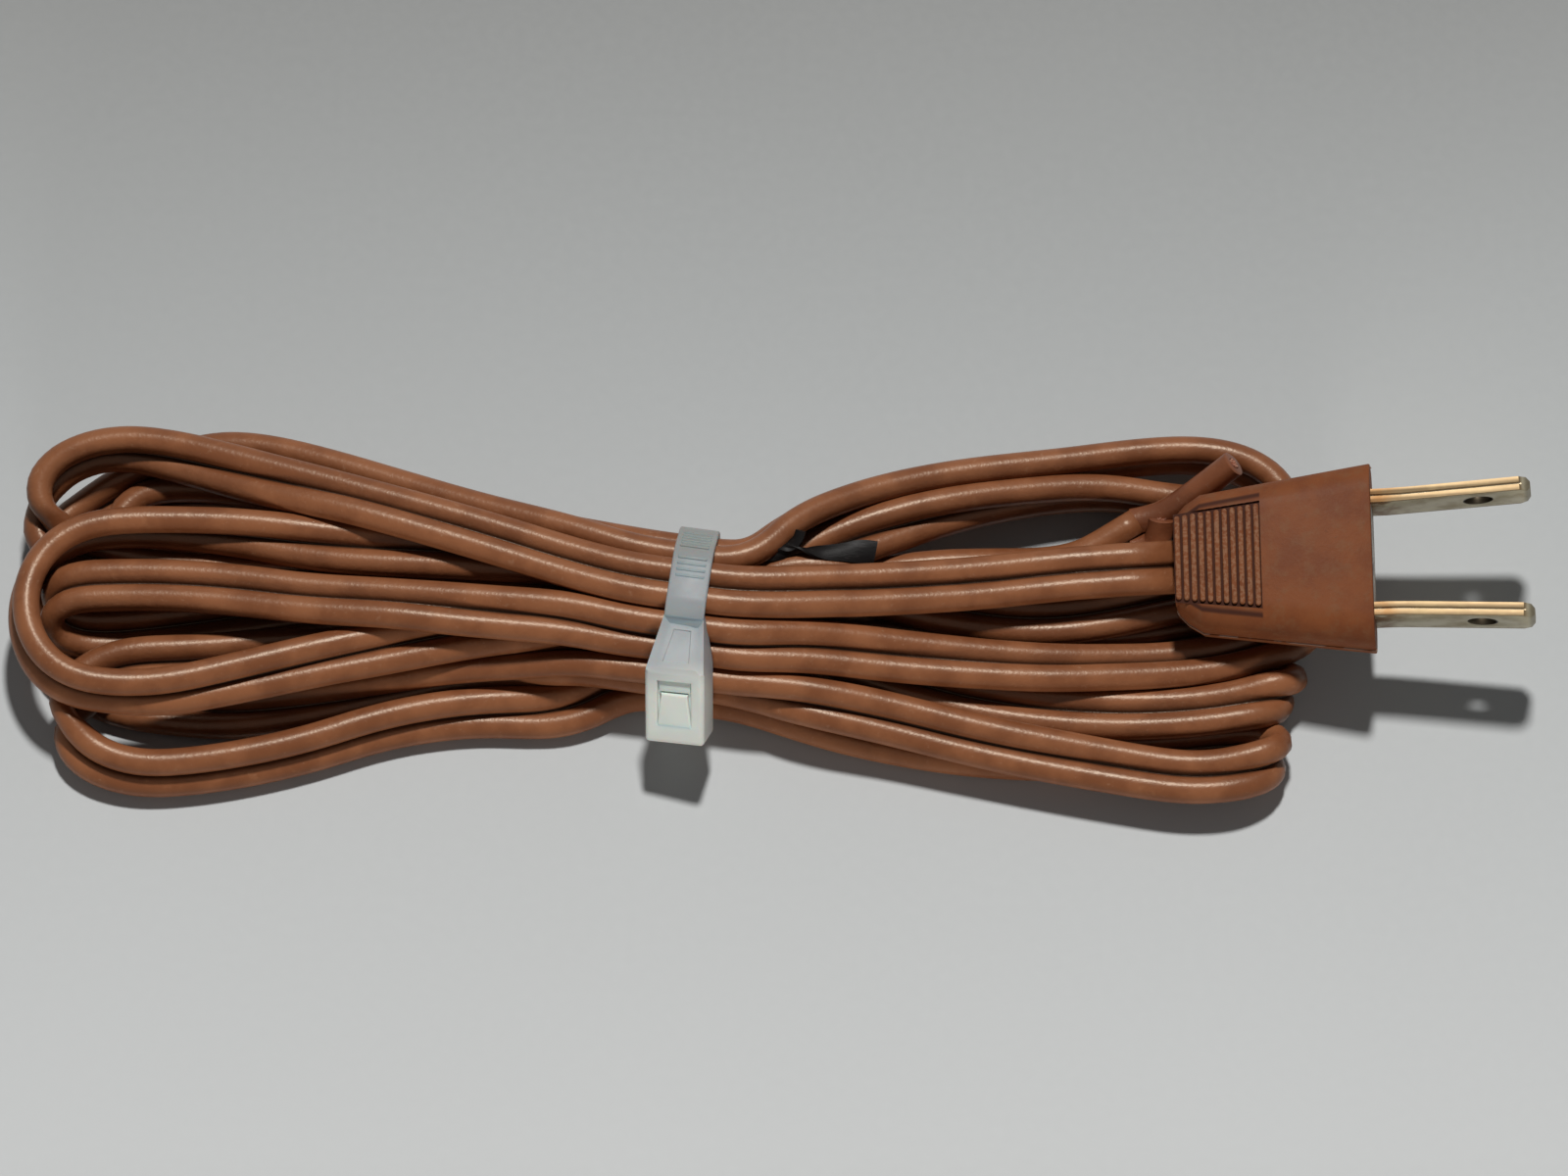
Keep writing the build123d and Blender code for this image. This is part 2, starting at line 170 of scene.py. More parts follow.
# Places in the tied waist: across, up, and the tilt of the cord's width in degrees (0 lies flat)
PLACES = {
    "top": (0.9, 13.1, 0),
    "slope": (-3.7, 11.3, 44),
    "back_top": (6.1, 10.7, 132),
    "front_top": (-6.8, 6.5, 82),
    "back_low": (7.0, 4.4, 92),
    "front_low": (-5.5, 2.8, 2),
    "second_front": (-2.7, 9.3, 12),
    "second_back": (3.0, 9.8, 0),
    "third_front": (-2.6, 6.1, 0),
    "third_back": (3.5, 6.8, 0),
    "fourth_front": (0.4, 3.0, 0),
    "fourth_back": (4.2, 2.75, 0),
}

# The hank, in the order the cord runs. A name is a place in the tie, with 1 towards +x and -1 back.
# A list is a leg of given points: x, y, z and the tilt of the width if it isn't flat.
# A row of four is a turn: its first point, the x of its tip, its last point, and its fullness.
HANK = [
    ("top", -1),
    [(-22, 2.6, 12.9), (-32, 6.2, 12.6, 3), (-42, 9.2, 12.1, 6), (-51, 11.9, 11.3, 14),
     (-59, 14.7, 10.1, 34), (-66, 17.4, 8.8, 62)],
    ((-71.5, 18.6, 8.2, 82), -80.9, (-74.5, 6.9, 4.6, 15), 1.0),
    [(-67, 4.6, 5.0, 5), (-56, 3.8, 6.0), (-44, 4.0, 6.9), (-30, 3.6, 6.9), (-20, 3.0, 6.9)],
    ("third_back", 1),
    [(3, 5.4, 7.4, 8), (11, 8.8, 7.2, 30), (19.4, 12.0, 6.4, 60), (28, 14.1, 5.2, 78),
     (37, 15.2, 4.2, 86)],
    ((45, 14.0, 3.3, 88), 53.0, (45, 2.6, 4.3, 12), 0.9),
    [(38, 0.8, 4.5), (30, -0.2, 4.6), (22, 0.2, 5.4), (12, 1.8, 7.6), (3, 3.0, 9.4)],
    ("second_back", -1),
    [(-22, 4.4, 9.7, 4), (-32, 5.2, 9.6, 14), (-42, 5.8, 9.5, 40), (-51, 6.9, 9.1, 68),
     (-60, 8.4, 8.8, 84)],
    ((-70, 8.8, 8.7, 90), -82.0, (-72, -10.9, 8.7, 78), 0.8),
    [(-66, -10.9, 8.8, 62), (-58, -9.0, 8.9, 52), (-50, -7.0, 9.0, 44), (-40, -4.8, 8.7, 30),
     (-30, -3.4, 8.6, 12), (-20, -2.6, 8.8, 8)],
    ("second_front", 1),
    [(3, -4.4, 7.8, 5), (11, -6.6, 5.4), (19, -9.4, 4.6), (28, -11.2, 4.5), (37, -11.8, 4.5),
     (46, -11.6, 4.6, 4), (52.5, -11.1, 5.1, 16), (56.4, -10.0, 4.9, 42), (58.2, -8.4, 3.4, 60),
     (56.6, -7.0, 1.9, 40), (51.5, -7.4, 1.5, 10), (45, -8.4, 1.5), (38, -9.0, 1.5),
     (28, -8.8, 1.5), (16, -7.0, 1.9), (6, -5.4, 3.4)],
    ("third_front", -1),
    [(-22, -3.0, 5.4), (-32, -2.8, 4.7), (-44, -3.4, 4.5), (-56, -4.4, 4.5, 5),
     (-63, -4.9, 4.7, 5)],
    ((-69, -4.9, 4.8, 10), -77.2, (-67, -17.7, 3.0, 64), 1.0),
    [(-60, -17.0, 3.0, 62), (-51, -15.0, 3.0, 62), (-42, -11.6, 3.0, 62), (-32, -9.6, 3.0, 55),
     (-22, -9.2, 3.0, 30)],
    ("front_low", 1),
    [(3, -9.6, 1.9), (12, -12.4, 1.6), (22, -14.4, 1.5), (32, -15.0, 1.5), (42, -14.8, 1.5),
     (49.5, -13.6, 1.5, 10), (54.4, -13.2, 2.0, 40), (56.6, -14.6, 3.4, 60),
     (55.2, -16.8, 4.9, 42), (51, -18.2, 5.0, 15), (46, -18.6, 4.7, 3), (39.7, -17.6, 4.6),
     (31, -15.9, 4.7, 4), (22, -14.1, 5.0, 10), (13, -12.1, 5.8, 22), (4, -10.6, 7.0, 40)],
    ("front_top", -1),
    [(-22, -6.0, 5.6, 74), (-32, -5.8, 4.2, 60), (-42, -7.2, 3.0, 40), (-52, -9.2, 2.2, 30),
     (-60, -10.3, 1.8, 20)],
    ((-67, -9.8, 1.5, 5), -80.0, (-75.5, 12.4, 1.9, 30), 0.9),
    [(-71.5, 15.2, 3.2, 60), (-66.5, 17.8, 4.6, 84), (-61, 19.4, 5.6, 90), (-55, 18.9, 6.0, 94),
     (-48, 16.8, 6.8, 96), (-40, 14.0, 7.6, 100), (-31, 10.8, 8.8, 106), (-22, 8.0, 10.0, 112)],
    ("back_top", 1),
    [(3, 8.9, 9.6, 106), (11.3, 13.0, 7.4, 96), (20, 15.4, 6.2, 92), (31.4, 17.2, 5.1, 90),
     (40, 18.9, 4.3, 90)],
    ((46, 19.5, 4.0, 90), 57.4, (46, 4.2, 1.7, 20), 0.9),
    [(41.5, 3.4, 1.5, 5), (36.5, 3.2, 1.5), (30, 3.2, 1.5), (21, 3.6, 1.6), (12, 5.0, 1.8, 10),
     (3, 6.2, 2.8, 60)],
    ("back_low", -1),
    [(-22, 7.2, 4.6, 90), (-32, 8.2, 4.6, 90), (-42, 10.0, 4.4, 90), (-52, 12.6, 4.2, 90),
     (-60, 14.6, 4.0, 90)],
    ((-66, 14.8, 3.8, 90), -72.6, (-66, 6.6, 3.0, 70), 0.9),
    [(-56, 4.6, 2.2, 20), (-46, 2.8, 1.5), (-36, 0.8, 1.5), (-28, 0.0, 1.8), (-20, -0.2, 2.6)],
    ("fourth_front", 1),
    [(3, -0.8, 2.6), (12, -1.8, 1.7), (22, -3.0, 1.5), (32, -3.2, 1.5), (40, -2.8, 1.5),
     (47, -1.6, 1.5), (54, 0.4, 1.5, 10), (58.6, 1.6, 2.1, 35), (60.6, 0.4, 3.4, 60),
     (59.2, -2.0, 4.5, 45), (55.5, -4.2, 4.7, 18), (50, -5.9, 4.7, 4), (44, -6.8, 4.9),
     (38, -7.1, 5.6), (31, -7.4, 6.6, 2), (22, -6.9, 7.5, 6), (13, -6.2, 8.5, 14),
     (4, -5.5, 10.2, 28)],
    ("slope", -1),
    [(-22, -2.9, 11.7, 30), (-32, -2.2, 11.5, 18), (-42, -1.2, 11.0, 8), (-51, -0.4, 10.5),
     (-59, 1.0, 9.9), (-67, 1.7, 9.6)],
    ((-73, 1.7, 9.4, 0), -79.5, (-73, -2.3, 4.5, 0), 0.6),
    [(-66, -1.4, 4.5), (-56, 0.2, 4.5), (-46, 1.8, 4.6), (-36, 3.0, 4.4), (-28, 3.7, 3.6),
     (-20, 3.8, 2.9)],
    ("fourth_back", 1),
    [(3, 2.6, 3.6), (11, 3.6, 4.6), (18, 4.6, 4.8), (25, 4.8, 4.6), (31, 4.8, 4.5),
     (35.5, 5.8, 4.7, 6), (38.5, 7.7, 5.2, 20)],
]
SPLIT = (41.6, 9.6, 5.7, 30)

# The two cores beyond the split, from inside the cord to their cut ends
TAILS = {
    "long": [(40.4, 10.7, 6.2), (42.6, 11.0, 6.6), (44.6, 11.6, 7.4), (48.0, 13.2, 9.9),
             (51.4, 15.0, 12.6)],
    "short": [(40.4, 8.1, 4.7), (42.2, 8.3, 5.0), (43.4, 8.5, 6.2), (43.6, 10.4, 7.8)],
}
STRAND_RADIUS = 0.13
STRAND_LENGTH = 2.1
STRAND_SUNK = 2.0

# The twist tie: its section in shares of its width and of half its thickness, and its two ends,
# each row of which is a point, the width's direction and the width
TWIST_THICKNESS = 0.5
TWIST_SECTION = [(0.5, -0.5), (0.5, 0.5), (0.32, 1), (0, 1.5), (-0.32, 1), (-0.5, 0.5),
                 (-0.5, -0.5), (-0.32, -1), (0, -1.5), (0.32, -1)]
TWIST_STRIP = [
    ((-0.4, 4.6, 11.8), (0, 1, 0.1), 1.9),
    ((1.4, 4.7, 12.0), (0, 0.9, 0.4), 1.9),
    ((3.0, 4.9, 12.1), (0, 0.2, 1), 1.8),
    ((4.6, 4.9, 11.8), (0, -0.8, 0.7), 1.8),
    ((6.4, 4.8, 11.5), (0, -1, 0.1), 1.9),
    ((8.4, 4.9, 11.4), (0, -1, -0.1), 2.1),
    ((10.4, 5.1, 11.3), (0.1, -1, -0.3), 2.7),
    ((11.8, 4.9, 11.0), (0.2, -1, -0.5), 2.5),
]
TWIST_EAR = [
    ((-0.2, 5.0, 11.9), (0, 0.2, 1), 1.9),
    ((1.4, 5.3, 12.1), (0, -0.8, 0.6), 1.9),
    ((2.6, 5.3, 12.3), (0.3, -0.9, 0.2), 1.7),
    ((3.4, 5.9, 12.9), (0.8, -0.4, 0.4), 1.4),
    ((3.6, 6.7, 13.4), (1.0, -0.1, 0.2), 1.1),
]

# Colours as linear red, green and blue
CORD_LIGHT = (0.235, 0.088, 0.037)
CORD_DARK = (0.165, 0.056, 0.022)
CORE_LIGHT = (0.190, 0.062, 0.026)
CORE_DARK = (0.125, 0.038, 0.016)
# The floor's front, middle and back colours are painted light falloff, brighter near the viewer
FLOOR_FRONT = (0.545, 0.562, 0.570)
FLOOR_MIDDLE = (0.390, 0.408, 0.415)
FLOOR_BACK = (0.225, 0.232, 0.232)
WORLD_LIGHT = (0.052, 0.054, 0.056)
WORLD_SEEN_IN_GLOSS = (0.45, 0.45, 0.44)

# The floor and the lights, in metres and watts
FLOOR_HALF = 3.0
# Where along y the floor's painted light falloff runs, from front to back
FLOOR_FALLOFF_FROM = -0.060
FLOOR_FALLOFF_TO = 0.080
KEY_PLACE = (0.05, 0.42, 1.05)
KEY_SIZE = 0.11
KEY_POWER = 12.6
KEY_COLOUR = (1.0, 0.985, 0.96)
FILL_PLACE = (-0.05, -1.2, 0.16)
FILL_SIZE = 0.28
FILL_POWER = 6.5
FILL_COLOUR = (1.0, 0.98, 0.95)


# The cord's route


def waist_axes():
    """The directions along the cord and across it in the tied waist, seen from above."""
    turn = math.radians(WAIST_TURN)
    return np.array([math.cos(turn), math.sin(turn)]), np.array([-math.sin(turn), math.cos(turn)])


def place_points(name, way):
    """Three points straight through the tied waist."""
    across, up, tilt = PLACES[name]
    forward, left = waist_axes()
    points = []
    for step in (-1, 0, 1):
        along = step * way * (WAIST_HALF_LENGTH + 0.5)
        points.append((*(np.array(WAIST_CENTRE) + along * forward + across * left), up, tilt))
    return points


def turn_points(first, tip_x, last, fullness, steps=9):
    """Points round one end of the hank, between and with the two given ones."""
    points = []
    for step in range(steps + 1):
        angle = math.pi * step / steps
        out = math.sin(angle) ** fullness
        share = (1 - math.cos(angle)) / 2
        near, y, z, tilt = (a + (b - a) * share for a, b in zip(first, last))
        points.append((near + (tip_x - near) * out, y, z, tilt))
    return points


def hank_points():
    """All points of the hank up to the split."""
    points = []
    for row in HANK:
        if isinstance(row, list):
            points += [(*point, 0)[:4] for point in row]
        else:
            points += (place_points if len(row) == 2 else turn_points)(*row)
    return points + [SPLIT]


def width_direction(tilt):
    """The direction of the cord's width, square to x."""
    angle = math.radians(tilt)
    return np.array([0.0, math.cos(angle), math.sin(angle)])


def spline_points(points, resolution):
    """The points that Blender gives for a smooth NURBS curve with these control points."""
    data = bpy.data.curves.new("route", "CURVE")
    data.dimensions = "3D"
    spline = data.splines.new("NURBS")
    spline.points.add(len(points) - 1)
    for control, point in zip(spline.points, points):
        control.co = (*point, 1.0)
    spline.order_u = 3
    spline.use_endpoint_u = True
    spline.resolution_u = resolution
    holder = add_object("route", data)
    bpy.context.view_layer.update()
    mesh = bpy.data.meshes.new_from_object(holder)
    found = np.array([vertex.co[:] for vertex in mesh.vertices])
    bpy.data.objects.remove(holder)
    bpy.data.curves.remove(data)
    bpy.data.meshes.remove(mesh)
    return found


def even_spacing(centre, beside, spacing):
    """Nodes of even spacing along the line, with the width's direction at each."""
    along = np.concatenate([[0.0], np.cumsum(steps_of(centre))])
    wanted = np.linspace(0.0, along[-1], int(along[-1] / spacing) + 1)
    nodes, side = [
        np.stack([np.interp(wanted, along, line[:, axis]) for axis in range(3)], axis=1)
        for line in (centre, beside)
    ]
    return nodes, unit(side - nodes)


def steps_of(line):
    """The length of each step along a line of points."""
    return np.linalg.norm(np.diff(line, axis=0), axis=1)


def unit(vectors):
    return vectors / np.maximum(np.linalg.norm(vectors, axis=1, keepdims=True), 1e-9)


def dot(first, second):
    return (first * second).sum(axis=1)


def square_to_line(line, side):
    """The width's directions made square to the line."""
    tangent = unit(np.gradient(line, axis=0))
    return unit(side - tangent * dot(side, tangent)[:, None])


def nearest_shares(start_a, run_a, start_b, run_b):
    """How far along each of two straight pieces their nearest points lie, for many pairs."""
    apart = start_a - start_b
    aa, ab, bb = dot(run_a, run_a), dot(run_a, run_b), dot(run_b, run_b)
    da, db = dot(run_a, apart), dot(run_b, apart)
    across = np.maximum(aa * bb - ab * ab, 1e-9)
    share_a = np.clip((ab * db - bb * da) / across, 0, 1)
    share_b = np.clip((ab * share_a + db) / bb, 0, 1)
    share_a = np.clip((ab * share_b - da) / aa, 0, 1)
    return share_a, share_b


def touching_pairs(cores, count, reach, apart_along):
    """Straight pieces of the two cores that may touch, leaving out near neighbours on the cord."""
    starts = np.concatenate([np.arange(count - 1), np.arange(count, 2 * count - 1)])
    middles = (cores[starts] + cores[starts + 1]) / 2
    found_a, found_b = [], []
    for index in range(len(starts)):
        gaps = np.abs(middles[index + 1:] - middles[index])
        near = np.nonzero(gaps.max(axis=1) < reach)[0] + index + 1
        node = starts[index] % count
        near = near[np.abs(starts[near] % count - node) > apart_along]
        found_a.append(np.full(len(near), starts[index]))
        found_b.append(starts[near])
    return np.concatenate(found_a), np.concatenate(found_b)


def plug_frame(points):
    """Points in the plug's own frame, and the axes of that frame."""
    pitch, roll = math.radians(PLUG_PITCH), math.radians(PLUG_ROLL)
    forward = np.array([math.cos(pitch), 0.0, math.sin(pitch)])
    left = np.array([
        -math.sin(pitch) * math.sin(roll), math.cos(roll), math.cos(pitch) * math.sin(roll)
    ])
    axes = np.stack([forward, left, np.cross(forward, left)])
    return (points - np.array(PLUG_REAR)) @ axes.T, axes


def clear_of_plug(cores):
    """Pushes the cores out of the plug's rounded block."""
    local, axes = plug_frame(cores)
    half_width = np.interp(local[:, 0], *zip(*CLEAR_HALF_WIDTHS))
    rounding = PLUG_SIDE_ROUND
    middle = PLUG_LENGTH / 2
    inner = np.stack([
        np.full(len(cores), middle - rounding),
        half_width - rounding,
        np.full(len(cores), PLUG_THICKNESS / 2 - rounding),
    ], axis=1)
    offset = local - np.array([middle, 0.0, 0.0])
    beyond = np.abs(offset) - inner
    outside = np.maximum(beyond, 0.0)
    length = np.linalg.norm(outside, axis=1)
    gap = length - rounding - CORE_RADIUS
    inside = (gap < 0) & (offset[:, 2] < 0)
    push = np.zeros_like(cores)
    away = outside * np.sign(offset) / np.maximum(length, 1e-6)[:, None]
    away[length < 1e-6] = (0.0, 0.0, -1.0)
    push[inside] = (away * -gap[:, None])[inside]
    deep = inside & (length < 1e-6)
    push[deep, 2] = -(rounding + CORE_RADIUS - beyond[deep, 2])
    return cores + push @ axes


def inside_waist(cores):
    """Keeps the cores inside the tied waist's outline where the tie is."""
    along, side = waist_axes()
    flat = cores[:, :2] - np.array(WAIST_CENTRE)
    held = np.abs(flat @ along) < WAIST_HALF_LENGTH - 1.0
    spot = np.stack([flat @ side, cores[:, 2]], axis=1)
    for start, end in zip(WAIST_OUTLINE, WAIST_OUTLINE[1:] + WAIST_OUTLINE[:1]):
        start, end = np.array(start), np.array(end)
        run = (end - start) / np.linalg.norm(end - start)
        inward = np.array([-run[1], run[0]])
        depth = (spot - start) @ inward
        short = np.where(held, np.maximum(CORE_RADIUS - TIE_SQUEEZE - depth, 0.0), 0.0)
        spot += short[:, None] * inward
    moved = cores.copy()
    across_by = spot[:, 0] - flat @ side
    moved[:, :2] += across_by[:, None] * side
    moved[:, 2] = spot[:, 1]
    return moved


def settle(centre, side, fixed):
    """Lets the cord's cores rest beside each other, on the floor, in the tie and under the plug."""
    count = len(centre)
    aim = np.concatenate([centre + side * CORE_RADIUS, centre - side * CORE_RADIUS])
    cores = aim.copy()
    held = np.concatenate([fixed, fixed])
    for turn in range(SETTLE_ROUNDS):
        if turn % PAIRS_LAST == 0:
            pairs_a, pairs_b = touching_pairs(cores, count, PAIR_REACH, PAIR_NODES_APART)
        run_a = cores[pairs_a + 1] - cores[pairs_a]
        run_b = cores[pairs_b + 1] - cores[pairs_b]
        share_a, share_b = nearest_shares(cores[pairs_a], run_a, cores[pairs_b], run_b)
        nearest_a = cores[pairs_a] + run_a * share_a[:, None]
        nearest_b = cores[pairs_b] + run_b * share_b[:, None]
        apart = nearest_a - nearest_b
        gap = np.linalg.norm(apart, axis=1)
        short = np.maximum(CORE_DIAMETER + CORE_CLEARANCE - gap, 0.0)
        push = apart / np.maximum(gap, 1e-6)[:, None] * (short * PUSH_SHARE)[:, None]
        shift = np.zeros_like(cores)
        for pairs, share, way in ((pairs_a, share_a, push), (pairs_b, share_b, -push)):
            np.add.at(shift, pairs, way * (1 - share)[:, None])
            np.add.at(shift, pairs + 1, way * share[:, None])
        cores += shift * ~held[:, None]

        moved = cores - aim
        for half in (slice(0, count), slice(count, 2 * count)):
            part = moved[half]
            smooth = part.copy()
            smooth[1:-1] = part[1:-1] * 0.6 + (part[:-2] + part[2:]) * 0.2
            moved[half] = smooth * PULL_BACK
        cores = clear_of_plug(inside_waist(aim + moved))
        cores[:, 2] = np.maximum(cores[:, 2], CORE_RADIUS)
        cores[held] = aim[held]
        middle = (cores[:count] + cores[count:]) / 2
        width = unit(cores[:count] - cores[count:]) * CORE_RADIUS
        cores = np.concatenate([middle + width, middle - width])
    return middle, unit(width)


def cord_section():
    """Two round cores with a narrow web between them, as offsets along and across the width."""
    points = []
    for core in (1, -1):
        for step in range(17):
            angle = math.radians(-160 + 320 * step / 16)
            along = core * (CORE_RADIUS + CORE_RADIUS * math.cos(angle))
            points.append((along, core * CORE_RADIUS * math.sin(angle)))
        points.append((0.0, core * WEB_HALF))
    return points


def tube_mesh(name, line, side, section, width=1.0):
    """A closed, smooth tube of any section along a line, with its width's direction all along."""
    side = square_to_line(line, side)
    normal = np.cross(unit(np.gradient(line, axis=0)), side)
    rings = [line + side * (width * w) + normal * n for w, n in section]
    vertices = np.stack(rings, axis=1).reshape(-1, 3) * MM
    around = len(section)
    faces = []
    for here in range(0, len(vertices) - around, around):
        there = here + around
        for spot in range(around):
            after = (spot + 1) % around
            faces.append((here + spot, here + after, there + after, there + spot))
    faces.append(tuple(reversed(range(around))))
    faces.append(tuple(range(len(vertices) - around, len(vertices))))
    mesh = bpy.data.meshes.new(name)
    mesh.from_pydata([tuple(v) for v in vertices], [], faces)
    mesh.polygons.foreach_set("use_smooth", [True] * len(faces))
    mesh.update()
    return mesh


def add_object(name, data):
    """An object in the scene with this mesh, curve, camera or light."""
    piece = bpy.data.objects.new(name, data)
    bpy.context.scene.collection.objects.link(piece)
    return piece


def make_cord():
    """The cord from the plug to its split, the line through its middle and its length, in mm."""
    rows = LEAD + hank_points()
    rough = np.array([row[:3] for row in rows])
    directions = np.array([width_direction(row[3]) for row in rows])
    middle, beside = spline_points(rough, 6), spline_points(rough + directions, 6)
    nodes, side = even_spacing(middle, beside, NODE_SPACING)
    side = square_to_line(nodes, side)

    lead = rough[:len(LEAD)]
    lead_nodes = int(float(steps_of(lead).sum()) / NODE_SPACING)
    fixed = np.zeros(len(nodes), dtype=bool)
    fixed[:lead_nodes] = True
    fixed[-2:] = True
    nodes, side = settle(nodes, side, fixed)

    controls = np.concatenate([lead, nodes[lead_nodes + 1:]])
    sides = np.concatenate([directions[:len(LEAD)], side[lead_nodes + 1:]])
    line = spline_points(controls, 3)
    side = square_to_line(line, spline_points(controls + sides, 3) - line)
    line[:, 2] = np.maximum(line[:, 2], CORE_RADIUS + CORE_RADIUS * np.abs(side[:, 2]))
    mesh = tube_mesh("cord", line, side, cord_section())
    # Nearness to the groove between the cores, where the cord's material paints shade
    near_groove = [max(0.0, 1 - abs(along) / GROOVE_REACH) for along, _ in cord_section()]
    groove = mesh.attributes.new("groove", "FLOAT", "POINT")
    groove.data.foreach_set("value", near_groove * len(line))
    return add_object("cord", mesh), line, float(steps_of(line).sum())


# Modelling helpers


def only(piece):
    """Leaves one piece selected and active."""
    bpy.ops.object.select_all(action="DESELECT")
    piece.select_set(True)
    bpy.context.view_layer.objects.active = piece


def set_down(piece, matrix=None):
    """Moves a piece and leaves its place in its mesh."""
    if matrix is not None:
        piece.matrix_world = matrix
        bpy.context.view_layer.update()
    only(piece)
    bpy.ops.object.transform_apply(location=True, rotation=True, scale=True)
    return piece


def block(name, low, high):
    """A block between two corners in mm."""
    low, high = Vector(low), Vector(high)
    bpy.ops.mesh.primitive_cube_add(size=1, location=(low + high) / 2 * MM)
    piece = bpy.context.object
    piece.name = name
    piece.scale = (high - low) * MM
    return set_down(piece)


def open_edit(piece):
    only(piece)
    bpy.ops.object.mode_set(mode="EDIT")


def close_edit():
    bpy.ops.object.mode_set(mode="OBJECT")


def pick(kind, test):
    """In edit mode, selects the vertices, edges or faces that pass a test on their points in mm."""
    bpy.ops.mesh.select_mode(type=kind)
    bpy.ops.mesh.select_all(action="DESELECT")
    mesh = bmesh.from_edit_mesh(bpy.context.object.data)
    if kind == "VERT":
        for vertex in mesh.verts:
            vertex.select_set(test(vertex.co / MM))
    elif kind == "EDGE":
        for edge in mesh.edges:
            edge.select_set(test(edge.verts[0].co / MM, edge.verts[1].co / MM))
    else:
        for face in mesh.faces:
            face.select_set(test(face.calc_center_median() / MM, face.normal))
    mesh.select_flush_mode()
    bmesh.update_edit_mesh(bpy.context.object.data)


def bisect(point, normal, clear=False):
    """Bisects what is selected, and fills the cut where its outer part is cleared."""
    bpy.ops.mesh.bisect(
        plane_co=Vector(point) * MM, plane_no=normal, clear_outer=clear, use_fill=clear
    )


def cut(point, normal, clear=False):
    bpy.ops.mesh.select_all(action="SELECT")
    bisect(point, normal, clear)


def widen(share):
    """Scales the selected points' distance from the piece's middle plane."""
    bpy.ops.transform.resize(value=(1, share, 1), center_override=(0, 0, 0))


def extrude(*by):
    bpy.ops.mesh.extrude_region_move(TRANSFORM_OT_translate={"value": Vector(by) * MM})


def inset(thickness, depth=0.0):
    bpy.ops.mesh.inset(thickness=thickness * MM, depth=depth * MM)


def soften(offset, segments):
    """Rounds the selected edges."""
    bpy.ops.mesh.bevel(
        offset=offset * MM, segments=segments, profile=0.5, affect="EDGES", clamp_overlap=True
    )


def soften_sharp(piece, width, segments, degrees):
    """Rounds every edge of a piece that turns more than so many degrees."""
    modify(piece, "BEVEL", width=width * MM, segments=segments, limit_method="ANGLE",
           angle_limit=math.radians(degrees))


def modify(piece, kind, **settings):
    """Adds a modifier with its settings and applies it."""
    only(piece)
    modifier = piece.modifiers.new(kind.lower(), kind)
    for name, value in settings.items():
        setattr(modifier, name, value)
    bpy.ops.object.modifier_apply(modifier=modifier.name)


def combine(piece, other, operation):
    """Cuts or adds another solid, which is then removed."""
    modify(piece, "BOOLEAN", object=other, operation=operation, solver="EXACT")
    bpy.data.objects.remove(other)


def join(pieces, name):
    only(pieces[0])
    for piece in pieces[1:]:
        piece.select_set(True)
    bpy.ops.object.join()
    pieces[0].name = name
    return pieces[0]


def twin_of(piece):
    twin = piece.copy()
    twin.data = piece.data.copy()
    bpy.context.scene.collection.objects.link(twin)
    return twin


def copy_of(piece, matrix):
    return set_down(twin_of(piece), matrix)


def moved_by(spot):
    """The matrix that moves a piece by so many mm."""
    return Matrix.Translation(Vector(spot) * MM)


def turned(degrees, about):
    return Matrix.Rotation(math.radians(degrees), 4, about)


def smooth_by_angle(piece, degrees):
    only(piece)
    bpy.ops.object.shade_smooth_by_angle(angle=math.radians(degrees))


# Plug body


def plug_place():
    return moved_by(PLUG_REAR) @ turned(-PLUG_PITCH, "Y") @ turned(PLUG_ROLL, "X")


def plug_shell():
    """The moulded body: rounded sides, a shoulder behind and the ridge of the mould's joint."""
    face_half = PLUG_HALF_WIDTHS[-1][1]
    top = PLUG_THICKNESS / 2
    shell = block("shell", (0, -face_half, -top), (PLUG_LENGTH, face_half, top))
    open_edit(shell)
    for x, _ in PLUG_HALF_WIDTHS[1:-1]:
        cut((x, 0, 0), (1, 0, 0))
    for x, half in PLUG_HALF_WIDTHS[:-1]:
        pick("VERT", lambda at: abs(at.x - x) < 0.01)
        widen(half / face_half)
    pick("EDGE", lambda a, b: abs(a.x - b.x) > 0.1 and a.z * b.z > top * top * 0.9)
    soften(PLUG_SIDE_ROUND, 8)
    pick("EDGE", lambda a, b: max(a.x, b.x) < 0.01)
    soften(PLUG_REAR_ROUND, 3)
    pick("EDGE", lambda a, b: min(a.x, b.x) > PLUG_LENGTH - 0.01)
    soften(PLUG_FACE_ROUND, 2)
    cut((0, 0, PARTING_HALF), (0, 0, 1))
    cut((0, 0, -PARTING_HALF), (0, 0, 1))
    pick("FACE", lambda at, normal: abs(at.z) < PARTING_HALF * 0.9 and abs(normal.y) > 0.3)
    bpy.ops.mesh.extrude_region_shrink_fatten(
        TRANSFORM_OT_shrink_fatten={"value": PARTING_HEIGHT * MM}
    )
    close_edit()
    return shell


def grip_block(low, high):
    """A block with the grip's outline seen from above, between two heights."""
    grip = block("grip", (-0.001, -GRIP_FRONT_HALF, low), (GRIP_LENGTH, GRIP_FRONT_HALF, high))
    open_edit(grip)
    pick("VERT", lambda at: at.x < 0.01)
    widen(GRIP_REAR_HALF / GRIP_FRONT_HALF)
    close_edit()
    return grip


def make_rib():
    """One rib of the grip, rounded along its top and at its ends."""
    half = GRIP_REAR_HALF - RIB_END_MARGIN
    rib = block("rib", (-RIB_WIDTH / 2, -half, -RIB_SUNK), (RIB_WIDTH / 2, half, RIB_HEIGHT))
    open_edit(rib)
    pick("EDGE", lambda a, b: abs(a.z - b.z) > 0.1)
    soften(RIB_WIDTH * 0.45, 4)
    pick("EDGE", lambda a, b: min(a.z, b.z) > RIB_HEIGHT - 0.01)
    soften(RIB_TOP_ROUND, 3)
    close_edit()
    return rib


